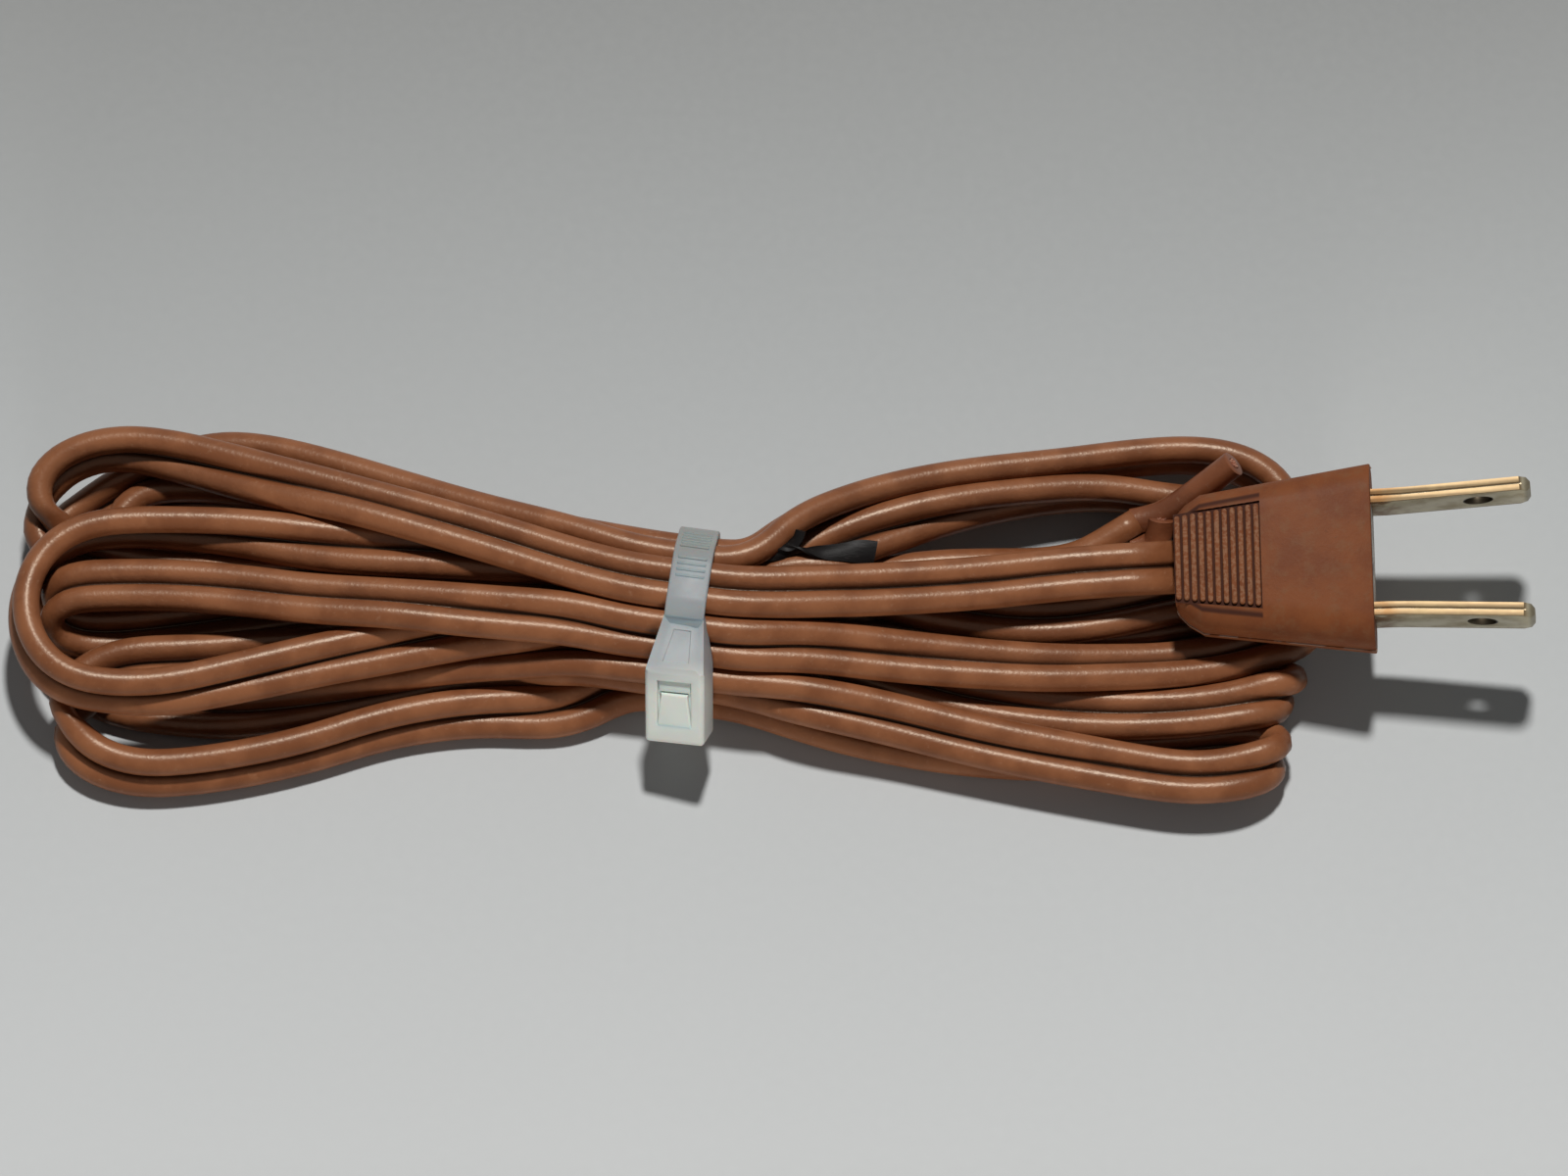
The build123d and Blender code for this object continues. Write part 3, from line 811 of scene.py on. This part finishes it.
def grip_ribs():
    """All the ribs of one side, each as long as the grip is wide there."""
    rib = make_rib()
    ribs = []
    for index in range(RIB_COUNT):
        share = (index + 0.5) / RIB_COUNT
        longer = (GRIP_FRONT_HALF - GRIP_REAR_HALF) * share
        twin = copy_of(rib, moved_by((share * RIB_COUNT * RIB_PITCH, 0, GRIP_FLOOR)))
        open_edit(twin)
        for way in (1, -1):
            pick("VERT", lambda at: at.y * way > 0)
            bpy.ops.transform.translate(value=(0, way * longer * MM, 0))
        close_edit()
        ribs.append(twin)
    bpy.data.objects.remove(rib)
    return join(ribs, "ribs")


def make_plug_body():
    """The moulded body with its grip, its pocket for the insert and the ribs of both sides."""
    body = plug_shell()
    combine(body, grip_block(GRIP_FLOOR, GRIP_CUT_TOP), "DIFFERENCE")
    combine(body, grip_block(-GRIP_CUT_TOP, -GRIP_FLOOR), "DIFFERENCE")
    combine(body, grip_block(-GRIP_FLOOR, GRIP_FLOOR), "UNION")
    pocket = block(
        "pocket",
        (PLUG_LENGTH - INSERT_DEPTH, -INSERT_HALF, -INSERT_HALF_HEIGHT),
        (PLUG_LENGTH + 1, INSERT_HALF, INSERT_HALF_HEIGHT),
    )
    combine(body, pocket, "DIFFERENCE")
    soften_sharp(body, 0.1, 2, 50)
    upper = grip_ribs()
    lower = copy_of(upper, Matrix.Rotation(math.pi, 4, "X"))
    body = join([body, upper, lower], "plug_moulding")
    smooth_by_angle(body, 40)
    return set_down(body, plug_place())


# Cable tie


def waist_place():
    return moved_by((*WAIST_CENTRE, 0)) @ turned(WAIST_TURN, "Z")


def slope_place():
    """The start of the flare: +X down the slope, +Z away from the strands."""
    down = Vector((0, -1, -1)).normalized()
    out = Vector((0, -1, 1)).normalized()
    across = out.cross(down)
    turn = Matrix((down, across, out)).transposed().to_4x4()
    start = Vector((0, WAIST_SLOPE - WAIST_HALF, WAIST_TOP)) + down * FLARE_START
    return waist_place() @ moved_by(start) @ turn


def head_place():
    """Where the head starts, seen from the start of the flare."""
    start = moved_by((FLARE_LENGTH, HEAD_SHIFT, HEAD_LIFT))
    return start @ turned(HEAD_TURN, "Z") @ turned(HEAD_ROLL, "X")


def tie_strap():
    """The strap as a closed band: a block is cut, rounded, opened at its sides and given a wall."""
    outer = WAIST_HALF + STRAP_THICKNESS
    top = WAIST_TOP + STRAP_THICKNESS
    strap = block("strap", (-STRAP_HALF, -outer, 0), (STRAP_HALF, outer, top))
    beyond = STRAP_THICKNESS * math.sqrt(2)
    open_edit(strap)
    cut((0, WAIST_SLOPE - WAIST_HALF, WAIST_TOP + beyond), (0, -1, 1), clear=True)
    cut((0, WAIST_HALF - WAIST_BACK_BEVEL, WAIST_TOP + beyond), (0, 1, 1), clear=True)
    pick("EDGE", lambda a, b: abs(a.x - b.x) > 1 and a.z > 1)
    soften(STRAP_CORNER * math.tan(math.radians(22.5)), 6)
    pick("EDGE", lambda a, b: abs(a.x - b.x) > 1 and max(a.z, b.z) < 0.01)
    soften(STRAP_CORNER, 10)
    pick("FACE", lambda at, normal: abs(normal.x) > 0.9)
    bpy.ops.mesh.delete(type="ONLY_FACE")
    close_edit()
    modify(strap, "SOLIDIFY", thickness=STRAP_THICKNESS * MM, offset=-1.0)
    soften_sharp(strap, STRAP_EDGE_ROUND, 3, 60)
    return strap


def ladder_bar():
    """One cross bar, a little sunk into the strap."""
    half = STRAP_HALF - LADDER_MARGIN
    bar = block("bar", (-half, -LADDER_BAR_HALF, -0.1), (half, LADDER_BAR_HALF, LADDER_HEIGHT))
    open_edit(bar)
    pick("EDGE", lambda a, b: min(a.z, b.z) > 0.05)
    soften(0.09, 2)
    close_edit()
    return bar


def tie_ladder():
    """Cross bars on the strap's outer face, over the back bevel and part of the top."""
    bar = ladder_bar()
    corner = Vector((0, WAIST_HALF - WAIST_BACK_BEVEL + 0.5, WAIST_TOP + STRAP_THICKNESS))
    bars = []
    for index in range(TOP_BARS):
        spot = corner - Vector((0, 1.0 + index * LADDER_PITCH, 0))
        bars.append(copy_of(bar, moved_by(spot)))
    down = Vector((0, 1, -1)).normalized()
    for index in range(BACK_BARS):
        spot = corner + down * (0.9 + index * LADDER_PITCH)
        bars.append(copy_of(bar, moved_by(spot) @ turned(-45, "X")))
    bpy.data.objects.remove(bar)
    return join(bars, "ladder")


def strap_start(way, level):
    """A corner of the strap's section at the flare's start, seen from the head's start."""
    corner = Vector((0, way * STRAP_HALF, level * STRAP_THICKNESS)) * MM
    return head_place().inverted() @ corner


def in_window(x):
    return WINDOW_TOP < x < WINDOW_BOTTOM


def tie_head():
    """The head with its dished flare, its window and the slit beside the pawl."""
    head = block("head", (0, -HEAD_HALF, 0), (HEAD_LENGTH, HEAD_HALF, HEAD_THICKNESS))
    open_edit(head)
    pick("FACE", lambda at, normal: at.x < 0.01)
    extrude(-FLARE_LENGTH, 0, 0)
    mesh = bmesh.from_edit_mesh(head.data)
    for vertex in mesh.verts:
        if vertex.co.x < -1 * MM:
            vertex.co = strap_start(1 if vertex.co.y > 0 else -1, 1 if vertex.co.z > 1 * MM else 0)
    bmesh.update_edit_mesh(head.data)
    pick("FACE", lambda at, normal: normal.z > 0.5 and at.x < -0.5)
    inset(0.8, -0.12)
    inset(0.7)
    inset(0.1, -0.1)
    pick("EDGE", lambda a, b: min(a.x, b.x) > -0.01 and max(a.x, b.x) > 0.1)
    soften(HEAD_ROUND, 4)
    far = HEAD_LENGTH - 0.6
    for x in (WINDOW_TOP, WINDOW_BOTTOM):
        pick("FACE", lambda at, normal: normal.z > 0.99 and 0 < at.x < far)
        bisect((x, 0, 0), (1, 0, 0))
    for y in (-WINDOW_HALF, WINDOW_HALF):
        pick("FACE", lambda at, normal: normal.z > 0.99 and in_window(at.x))
        bisect((0, y, 0), (0, 1, 0))
    pick("FACE", lambda at, normal: normal.z > 0.99 and in_window(at.x) and abs(at.y) < 0.1)
    extrude(0, 0, -WINDOW_DEPTH)
    pick("EDGE", lambda a, b: min(a.z, b.z) > HEAD_THICKNESS - 0.01
         and WINDOW_TOP - 0.01 < (a.x + b.x) / 2 < WINDOW_BOTTOM + 0.01
         and max(abs(a.y), abs(b.y)) < WINDOW_HALF + 0.01)
    soften(0.14, 2)
    close_edit()
    combine(head, block("slit", (2.5, -1.72, 2.5), (3.6, -1.52, 6)), "DIFFERENCE")
    return head


def tie_fillings():
    """The cut strap end sunk in the window, and the pawl below it."""
    end_top = HEAD_THICKNESS - 0.3
    end = block("strap_end", (WINDOW_TOP - 0.1, -1.8, 1.0), (WINDOW_TOP + 1.35, 1.8, end_top))
    open_edit(end)
    pick("EDGE", lambda a, b: min(a.z, b.z) > 3)
    soften(0.15, 2)
    close_edit()
    pawl_top = HEAD_THICKNESS - 0.03
    pawl = block("pawl", (2.3, -1.5, 2.4), (WINDOW_BOTTOM + 0.2, 1.5, pawl_top))
    open_edit(pawl)
    pick("VERT", lambda at: at.x > 4)
    widen(1.3)
    pick("EDGE", lambda a, b: min(a.z, b.z) > 3 and min(a.x, b.x) < 4)
    soften(0.22, 3)
    close_edit()
    return [end, pawl]


def make_tie():
    strap = set_down(join([tie_strap(), tie_ladder()], "tie"), waist_place())
    head = join([tie_head()] + tie_fillings(), "tie_head")
    tie = join([strap, set_down(head, slope_place() @ head_place())], "tie")
    smooth_by_angle(tie, 35)
    return tie


# Split ends of the cord


def make_core(name, points):
    """One split core with the wall of its insulation at the cut, and where and how it ends."""
    line = spline_points(np.array(points), 8)
    side = np.tile([0.0, 1.0, 0.3], (len(line), 1))
    turn = [math.tau * step / 18 for step in range(18)]
    section = [(CORE_RADIUS * math.cos(angle), CORE_RADIUS * math.sin(angle)) for angle in turn]
    core = add_object(name, tube_mesh(name, line, side, section))
    end = Vector(line[-1])
    open_edit(core)
    pick("FACE", lambda at, normal: (at - end).length < 0.5)
    inset(0.12, 0.08)
    inset(0.65)
    inset(0.06, -0.3)
    close_edit()
    smooth_by_angle(core, 40)
    return core, end, Vector(line[-1] - line[-2]).normalized()


def make_strands(name, end, direction):
    """A bundle of fine copper strands in a core's cut end, in two rings round a middle one."""
    place = moved_by(end) @ direction.to_track_quat("Z", "Y").to_matrix().to_4x4()
    strands = []
    spots = [(0, 0)] + [(0.24, 60 * k) for k in range(6)] + [(0.48, 30 * k + 7) for k in range(12)]
    for index, (out, degrees) in enumerate(spots):
        angle = math.radians(degrees)
        length = STRAND_LENGTH + 0.16 * ((index * 7) % 5) / 4
        bpy.ops.mesh.primitive_cylinder_add(
            vertices=8, radius=STRAND_RADIUS * MM, depth=length * MM
        )
        strand = bpy.context.object
        open_edit(strand)
        pick("EDGE", lambda a, b: min(a.z, b.z) > 0.5)
        soften(0.05, 2)
        close_edit()
        lift = (out * math.cos(angle), out * math.sin(angle), length / 2 - STRAND_SUNK)
        strands.append(set_down(strand, place @ moved_by(lift)))
    bundle = join(strands, name)
    smooth_by_angle(bundle, 40)
    return bundle


# Twist tie


def ribbon(name, rows):
    """A twisted strip through the given rows."""
    at = np.array([row[0] for row in rows])
    out = np.array([np.array(row[1]) * row[2] for row in rows])
    middle, beside = spline_points(at, 6), spline_points(at + out, 6)
    width = np.linalg.norm(beside - middle, axis=1, keepdims=True)
    section = [(w, n * TWIST_THICKNESS / 2) for w, n in TWIST_SECTION]
    return add_object(name, tube_mesh(name, middle, beside - middle, section, width))


def make_twist_tie():
    tie = join([ribbon("strip", TWIST_STRIP), ribbon("ear", TWIST_EAR)], "twisted_strip")
    smooth_by_angle(tie, 50)
    return tie


# Materials


class Channel:
    """A node's output in a material or the world. Arithmetic on it adds Math nodes."""

    def __init__(self, tree, socket=None):
        self.tree = tree
        self.socket = socket

    def node(self, kind, settings, sockets, output=0):
        """Any other node: its settings first, then the values or links of its sockets."""
        made = self.tree.nodes.new(kind)
        for name, value in settings.items():
            if name == "stops":
                ramp = made.color_ramp
                ramp.elements[0].position, ramp.elements[1].position = value[0][0], value[-1][0]
                for place, colour in value[1:-1]:
                    ramp.elements.new(place)
                for element, (place, colour) in zip(ramp.elements, value):
                    element.color = (*colour, 1.0)
            else:
                setattr(made, name, value)
        for name, value in sockets.items():
            if isinstance(value, Channel):
                self.tree.links.new(value.socket, made.inputs[name])
            else:
                made.inputs[name].default_value = value
        return Channel(self.tree, made.outputs[output])

    def math(self, operation, first, second):
        return self.node("ShaderNodeMath", {"operation": operation}, {0: first, 1: second})

    def __add__(self, other):
        return self.math("ADD", self, other)

    def __radd__(self, other):
        return self.math("ADD", other, self)

    def __sub__(self, other):
        return self.math("SUBTRACT", self, other)

    def __rsub__(self, other):
        return self.math("SUBTRACT", other, self)

    def __mul__(self, other):
        return self.math("MULTIPLY", self, other)

    def __abs__(self):
        return self.math("ABSOLUTE", self, 0.0)

    def root(self):
        return self.math("SQRT", self, 0.0)

    def feed(self, shader, name):
        self.tree.links.new(self.socket, shader.inputs[name])


def noise(place, scale, detail=3.0, rough=0.55):
    sockets = {"Vector": place, "Scale": scale, "Detail": detail, "Roughness": rough}
    return place.node("ShaderNodeTexNoise", {"noise_dimensions": "3D"}, sockets)


def mask(value, low, high):
    """From 0 at one value to 1 at another, smoothly."""
    settings = {"interpolation_type": "SMOOTHSTEP"}
    return value.node("ShaderNodeMapRange", settings, {0: value, 1: low, 2: high, 3: 0.0, 4: 1.0})


def mix(factor, first, second):
    """The first colour where the factor is 0, and the second where it is 1."""
    sockets = {0: factor}
    for name, colour in ((6, first), (7, second)):
        sockets[name] = colour if isinstance(colour, Channel) else (*colour, 1.0)
    return factor.node("ShaderNodeMix", {"data_type": "RGBA"}, sockets, 2)


def stretched(place, scale):
    """The place with its x shrunk, which draws a texture out along x."""
    sockets = {"Vector": place, "Scale": (scale, 1.0, 1.0)}
    return place.node("ShaderNodeMapping", {"vector_type": "POINT"}, sockets)


def axis(place, name):
    return place.node("ShaderNodeSeparateXYZ", {}, {0: place}, name)


def new_material(name, gloss=0.5, **settings):
    """A material with these settings of its shader, and the place on the piece in metres."""
    material = bpy.data.materials.new(name)
    material.use_nodes = True
    shader = material.node_tree.nodes["Principled BSDF"]
    shader.inputs["Specular IOR Level"].default_value = gloss
    for setting, value in settings.items():
        shader.inputs[setting.replace("_", " ").title()].default_value = value
    return material, Channel(material.node_tree).node("ShaderNodeTexCoord", {}, {}, "Object")


def finish(material, colour, roughness, height, strength, depth):
    """Links colour, roughness and a bump whose height is in the given depth in mm."""
    shader = material.node_tree.nodes["Principled BSDF"]
    colour.feed(shader, "Base Color")
    roughness.feed(shader, "Roughness")
    sockets = {"Strength": strength, "Distance": depth * MM, "Height": height}
    height.node("ShaderNodeBump", {}, sockets).feed(shader, "Normal")
    return material


def cord_pvc(name, light, dark):
    """Satin PVC with a fine orange-peel skin, clouded colour and pale dust."""
    material, place = new_material(name, 0.4, specular_tint=(1.0, 0.88, 0.72, 1.0))
    cloud = noise(place, 170, 4.0)
    grain = noise(place, 2300, 2.0)
    dust = mask(noise(place, 1300, 4.0, 0.7), 0.6, 0.72)
    scuffs = mask(noise(place, 420, 3.0, 0.6), 0.62, 0.74)
    colour = mix(mask(cloud, 0.35, 0.65), dark, light)
    colour = mix(dust * 0.22, colour, (0.36, 0.22, 0.14))
    colour = mix(scuffs * 0.25, colour, (0.30, 0.13, 0.06))
    # Painted shade, with a little dirt, darkens the groove between the cores almost to black
    groove = place.node("ShaderNodeAttribute", {"attribute_name": "groove"}, {}, "Fac")
    colour = mix(mask(groove, 0.55, 1.0) * 0.9, colour, (0.020, 0.008, 0.005))
    roughness = 0.31 + cloud * 0.10 + dust * 0.15
    return finish(material, colour, roughness, grain + noise(place, 600) * 0.6, 0.8, 0.04)


def in_plug(place):
    """How far along the plug and how high above its middle a place is, in mm."""
    turn = plug_place().to_euler()
    sockets = {"Vector": place, "Location": Vector(PLUG_REAR) * MM, "Rotation": turn}
    local = place.node("ShaderNodeMapping", {"vector_type": "TEXTURE"}, sockets)
    return [axis(local, name) * TO_MM for name in ("X", "Z")]


def plug_pvc():
    """Moulded PVC, mottled and pitted, with worn pale rib tops and painted shade between the ribs.
    """
    material, place = new_material("plug_pvc", 0.08)
    along, height = in_plug(place)
    level = abs(height)
    on_grip = 1 - mask(along, GRIP_LENGTH - 0.1, GRIP_LENGTH + 0.1)
    cloud = noise(place, 190, 5.0, 0.6)
    patches = noise(place, 620, 4.0, 0.65)
    speckle = noise(place, 2600, 3.0, 0.7)
    colour = mix(mask(cloud, 0.35, 0.65), (0.140, 0.044, 0.018), (0.178, 0.058, 0.022))
    colour = mix(mask(patches, 0.48, 0.68) * 0.4, colour, (0.165, 0.078, 0.038))
    colour = mix(mask(speckle, 0.60, 0.72) * 0.3, colour, (0.085, 0.035, 0.020))
    # Painted shade darkens the floor between the ribs
    rib_gap_shade = on_grip * (1 - mask(level, GRIP_FLOOR + 0.05, GRIP_FLOOR + 0.3))
    rib_gap_shade = rib_gap_shade * mask(level, GRIP_FLOOR - 0.2, GRIP_FLOOR)
    colour = mix(rib_gap_shade * 0.9, colour, (0.040, 0.016, 0.012))
    worn = on_grip * mask(level, GRIP_FLOOR + 0.3, GRIP_FLOOR + 0.42)
    colour = mix(worn * mask(speckle, 0.42, 0.60) * 0.55, colour, (0.27, 0.145, 0.085))
    seam = (1 - mask(level, 0.12, 0.22)) * mask(noise(place, 500), 0.40, 0.52)
    colour = mix(seam * 0.6, colour, (0.30, 0.22, 0.175))
    roughness = 0.46 + cloud * 0.10 + worn * 0.12 + rib_gap_shade * 0.3
    return finish(material, colour, roughness, speckle + patches * 0.8, 0.7, 0.045)


def blade_brass():
    """Worn brass, streaked on its flats and darker at its root; painted reflection makes the flats
    brighter and greyer, painted shade darkens the edges, tip and hole.
    """
    material, place = new_material("blade_brass", metallic=1.0)
    along, height = in_plug(place)
    level = abs(height)
    streaks = noise(stretched(place, 0.06), 1800, 3.0)
    cloud = noise(place, 420, 4.0, 0.6)
    # Painted reflection and shade: brighter, greyer flats for the floor they mirror, darker edges
    # to dim the key light's reflection
    edge = mask(level, 2.75, 3.12)
    colour = mix(edge, (0.60, 0.53, 0.38), (0.26, 0.185, 0.105))
    colour = mix(mask(cloud, 0.45, 0.65) * 0.5, colour, (0.36, 0.27, 0.15))
    root = 1 - mask(along, PLUG_LENGTH + 0.4, PLUG_LENGTH + 4.5)
    colour = mix(root * mask(cloud, 0.35, 0.6), colour, (0.26, 0.14, 0.06))
    # Painted shade on the bevelled corner at the tip
    tip_shade = mask(along, PLUG_LENGTH + 16.6, PLUG_LENGTH + 17.2)
    colour = mix(tip_shade * 0.6, colour, (0.12, 0.10, 0.07))
    from_hole = along - HOLE_PLACE
    from_hole = (from_hole * from_hole + height * height).root()
    # Painted shade darkens the wall of the hole almost to black
    hole_shade = 1 - mask(from_hole, HOLE_RADIUS, HOLE_RADIUS + 0.15)
    colour = mix(hole_shade * 0.95, colour, (0.030, 0.022, 0.015))
    roughness = 0.30 + cloud * 0.18 + edge * 0.10 + streaks * 0.10
    return finish(material, colour, roughness, streaks + cloud, 0.35, 0.02)


def insert_plastic():
    """Pale insert between the blades, stained in patches."""
    material, place = new_material("insert_plastic")
    stain = mask(noise(place, 330, 4.0, 0.65), 0.50, 0.60)
    grain = noise(place, 1500)
    colour = mix(stain, (0.50, 0.48, 0.44), (0.085, 0.062, 0.048))
    return finish(material, colour, 0.5 + grain * 0.15, grain, 0.3, 0.02)


def copper():
    material, place = new_material("copper", metallic=1.0)
    cloud = noise(place, 1500)
    colour = mix(mask(cloud, 0.4, 0.6), (0.46, 0.20, 0.13), (0.62, 0.34, 0.24))
    return finish(material, colour, 0.36 + cloud * 0.15, cloud, 0.3, 0.01)


def tie_nylon():
    """Milky nylon: thin and bluish over the strap, thick and creamy in the head."""
    material, place = new_material(
        "tie_nylon", 0.16, subsurface_weight=0.35, subsurface_scale=0.0015
    )
    across = axis(place, "Y") * TO_MM
    head, flare = 1 - mask(across, *HEAD_FADE), 1 - mask(across, *FLARE_FADE)
    back = mask(across, *BACK_FADE)
    cloud = noise(place, 160, 3.0)
    grain = noise(place, 1100, 3.0)
    colour = mix(back, (0.270, 0.292, 0.308), (0.258, 0.265, 0.258))
    colour = mix(flare, colour, (0.370, 0.395, 0.410))
    colour = mix(head, colour, (0.660, 0.685, 0.640))
    colour = mix(mask(cloud, 0.45, 0.7) * 0.15, colour, (0.45, 0.47, 0.45))
    return finish(material, colour, 0.34 + grain * 0.12, grain + cloud, 0.3, 0.03)


def twist_plastic():
    """Black plastic over wire, creased and a little dusty."""
    material, place = new_material("twist_plastic", 0.12)
    crease = noise(stretched(place, 0.3), 1500, 4.0, 0.65)
    dust = mask(crease, 0.58, 0.72)
    colour = mix(dust * 0.4, (0.006, 0.005, 0.005), (0.040, 0.033, 0.033))
    return finish(material, colour, 0.38 + crease * 0.2, crease, 0.8, 0.07)


def floor_paper():
    """Pale matt paper with painted light falloff, which makes it a little darker away from the
    viewer.
    """
    material, place = new_material("floor_paper")
    fibre = noise(place, 900, 3.0)
    cloud = noise(place, 9, 2.0)
    back = axis(place, "Y")
    # Painted light falloff: the floor's colour darkens from front to back
    stops = [(0.0, FLOOR_FRONT), (0.55, FLOOR_MIDDLE), (1.0, FLOOR_BACK)]
    sockets = {0: back, 1: FLOOR_FALLOFF_FROM, 2: FLOOR_FALLOFF_TO, 3: 0.0, 4: 1.0}
    share = back.node("ShaderNodeMapRange", {}, sockets)
    painted_falloff = share.node("ShaderNodeValToRGB", {"stops": stops}, {"Fac": share})
    colour = mix(mask(cloud, 0.3, 0.7) * 0.05, painted_falloff, (0.30, 0.30, 0.29))
    return finish(material, colour, 0.62 + fibre * 0.1, fibre, 0.15, 0.03)


# Stage


def make_camera():
    """The photograph's camera, with a long lens because it stood far off."""
    tilt = math.radians(CAMERA_TILT)
    data = bpy.data.cameras.new("camera")
    data.lens = CAMERA_LENS
    data.sensor_width = 36.0
    data.clip_start = 0.01
    data.clip_end = 20.0
    camera = add_object("camera", data)
    away = np.array([0.0, -math.sin(tilt), math.cos(tilt)]) * CAMERA_DISTANCE
    camera.location = (np.array(LOOK_AT) + away) * MM
    camera.rotation_euler = (tilt, 0.0, 0.0)
    bpy.context.scene.camera = camera


def area_light(name, place, size, power, colour):
    """A round light that points at the origin."""
    data = bpy.data.lights.new(name, "AREA")
    data.shape = "DISK"
    data.size = size
    data.energy = power
    data.color = colour
    light = add_object(name, data)
    light.location = place
    light.rotation_euler = (-Vector(place)).to_track_quat("-Z", "Y").to_euler()
    return light


def make_world():
    """A dim even room that looks brighter in metal and gloss than it lights."""
    world = bpy.data.worlds.new("world")
    world.use_nodes = True
    tree = world.node_tree
    rays = Channel(tree).node("ShaderNodeLightPath", {}, {}, "Is Glossy Ray")
    colour = mix(rays, WORLD_LIGHT, WORLD_SEEN_IN_GLOSS)
    tree.links.new(colour.socket, tree.nodes["Background"].inputs["Color"])
    bpy.context.scene.world = world


def make_stage():
    """The floor, a small high key behind, and a low fill in front that doesn't show in gloss."""
    mesh = bpy.data.meshes.new("floor")
    corners = [(x * FLOOR_HALF, y * FLOOR_HALF, 0) for x, y in ((-1, -1), (1, -1), (1, 1), (-1, 1))]
    mesh.from_pydata(corners, [], [(0, 1, 2, 3)])
    floor = add_object("floor", mesh)
    mesh.materials.append(floor_paper())
    area_light("key", KEY_PLACE, KEY_SIZE, KEY_POWER, KEY_COLOUR)
    fill = area_light("fill", FILL_PLACE, FILL_SIZE, FILL_POWER, FILL_COLOUR)
    fill.visible_glossy = False
    make_world()
    bpy.context.scene.view_settings.view_transform = "Standard"


# Everything together


def rounded_copy(node, name):
    """A rigid piece's own shape with its sharp edges rounded."""
    piece = twin_of(node)
    piece.name = name
    open_edit(piece)
    bpy.ops.mesh.select_all(action="SELECT")
    bpy.ops.mesh.remove_doubles(threshold=0.001 * MM)
    bpy.ops.mesh.dissolve_limited(angle_limit=math.radians(1.5))
    close_edit()
    soften_sharp(piece, 0.1, 2, 30)
    smooth_by_angle(piece, 40)
    return piece


def dress(piece, material, slot, *nodes):
    """Gives a piece its material, hangs it under the root and hides the nodes it stands for."""
    piece.data.materials.clear()
    piece.data.materials.append(material)
    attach(piece, "root")
    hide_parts(*nodes)


def main():
    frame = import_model()
    make_camera()
    make_stage()

    cord, line, length = make_cord()
    dress(cord, cord_pvc("cord_pvc", CORD_LIGHT, CORD_DARK), "cord_pvc", "lead_cord", "cord_hank")

    core_skin = cord_pvc("core_pvc", CORE_LIGHT, CORE_DARK)
    metal = copper()
    tails = []
    for name, points in TAILS.items():
        core, end, direction = make_core("split_core_" + name, points)
        dress(core, core_skin, "core_pvc", "tail_core_" + name)
        strands = make_strands("copper_strands_" + name, end, direction)
        dress(strands, metal, "copper", "tail_strands_" + name)
        tails += [core, strands]

    dress(make_plug_body(), plug_pvc(), "plug_pvc", "plug_body")
    brass = blade_brass()
    for side in ("front", "back"):
        blade = rounded_copy(frame["nodes"]["blade_" + side], "folded_blade_" + side)
        dress(blade, brass, "blade_brass", "blade_" + side)
    dress(make_tie(), tie_nylon(), "tie_nylon", "cable_tie")
    dress(make_twist_tie(), twist_plastic(), "twist_plastic", "twist_tie")

    kept = {"blade_bridge": insert_plastic()}
    for side in ("front", "back"):
        kept.update({"inner_core_" + side: core_skin, "conductor_" + side: metal})
    for name, material in kept.items():
        frame["nodes"][name].material_slots[0].material = material


main()
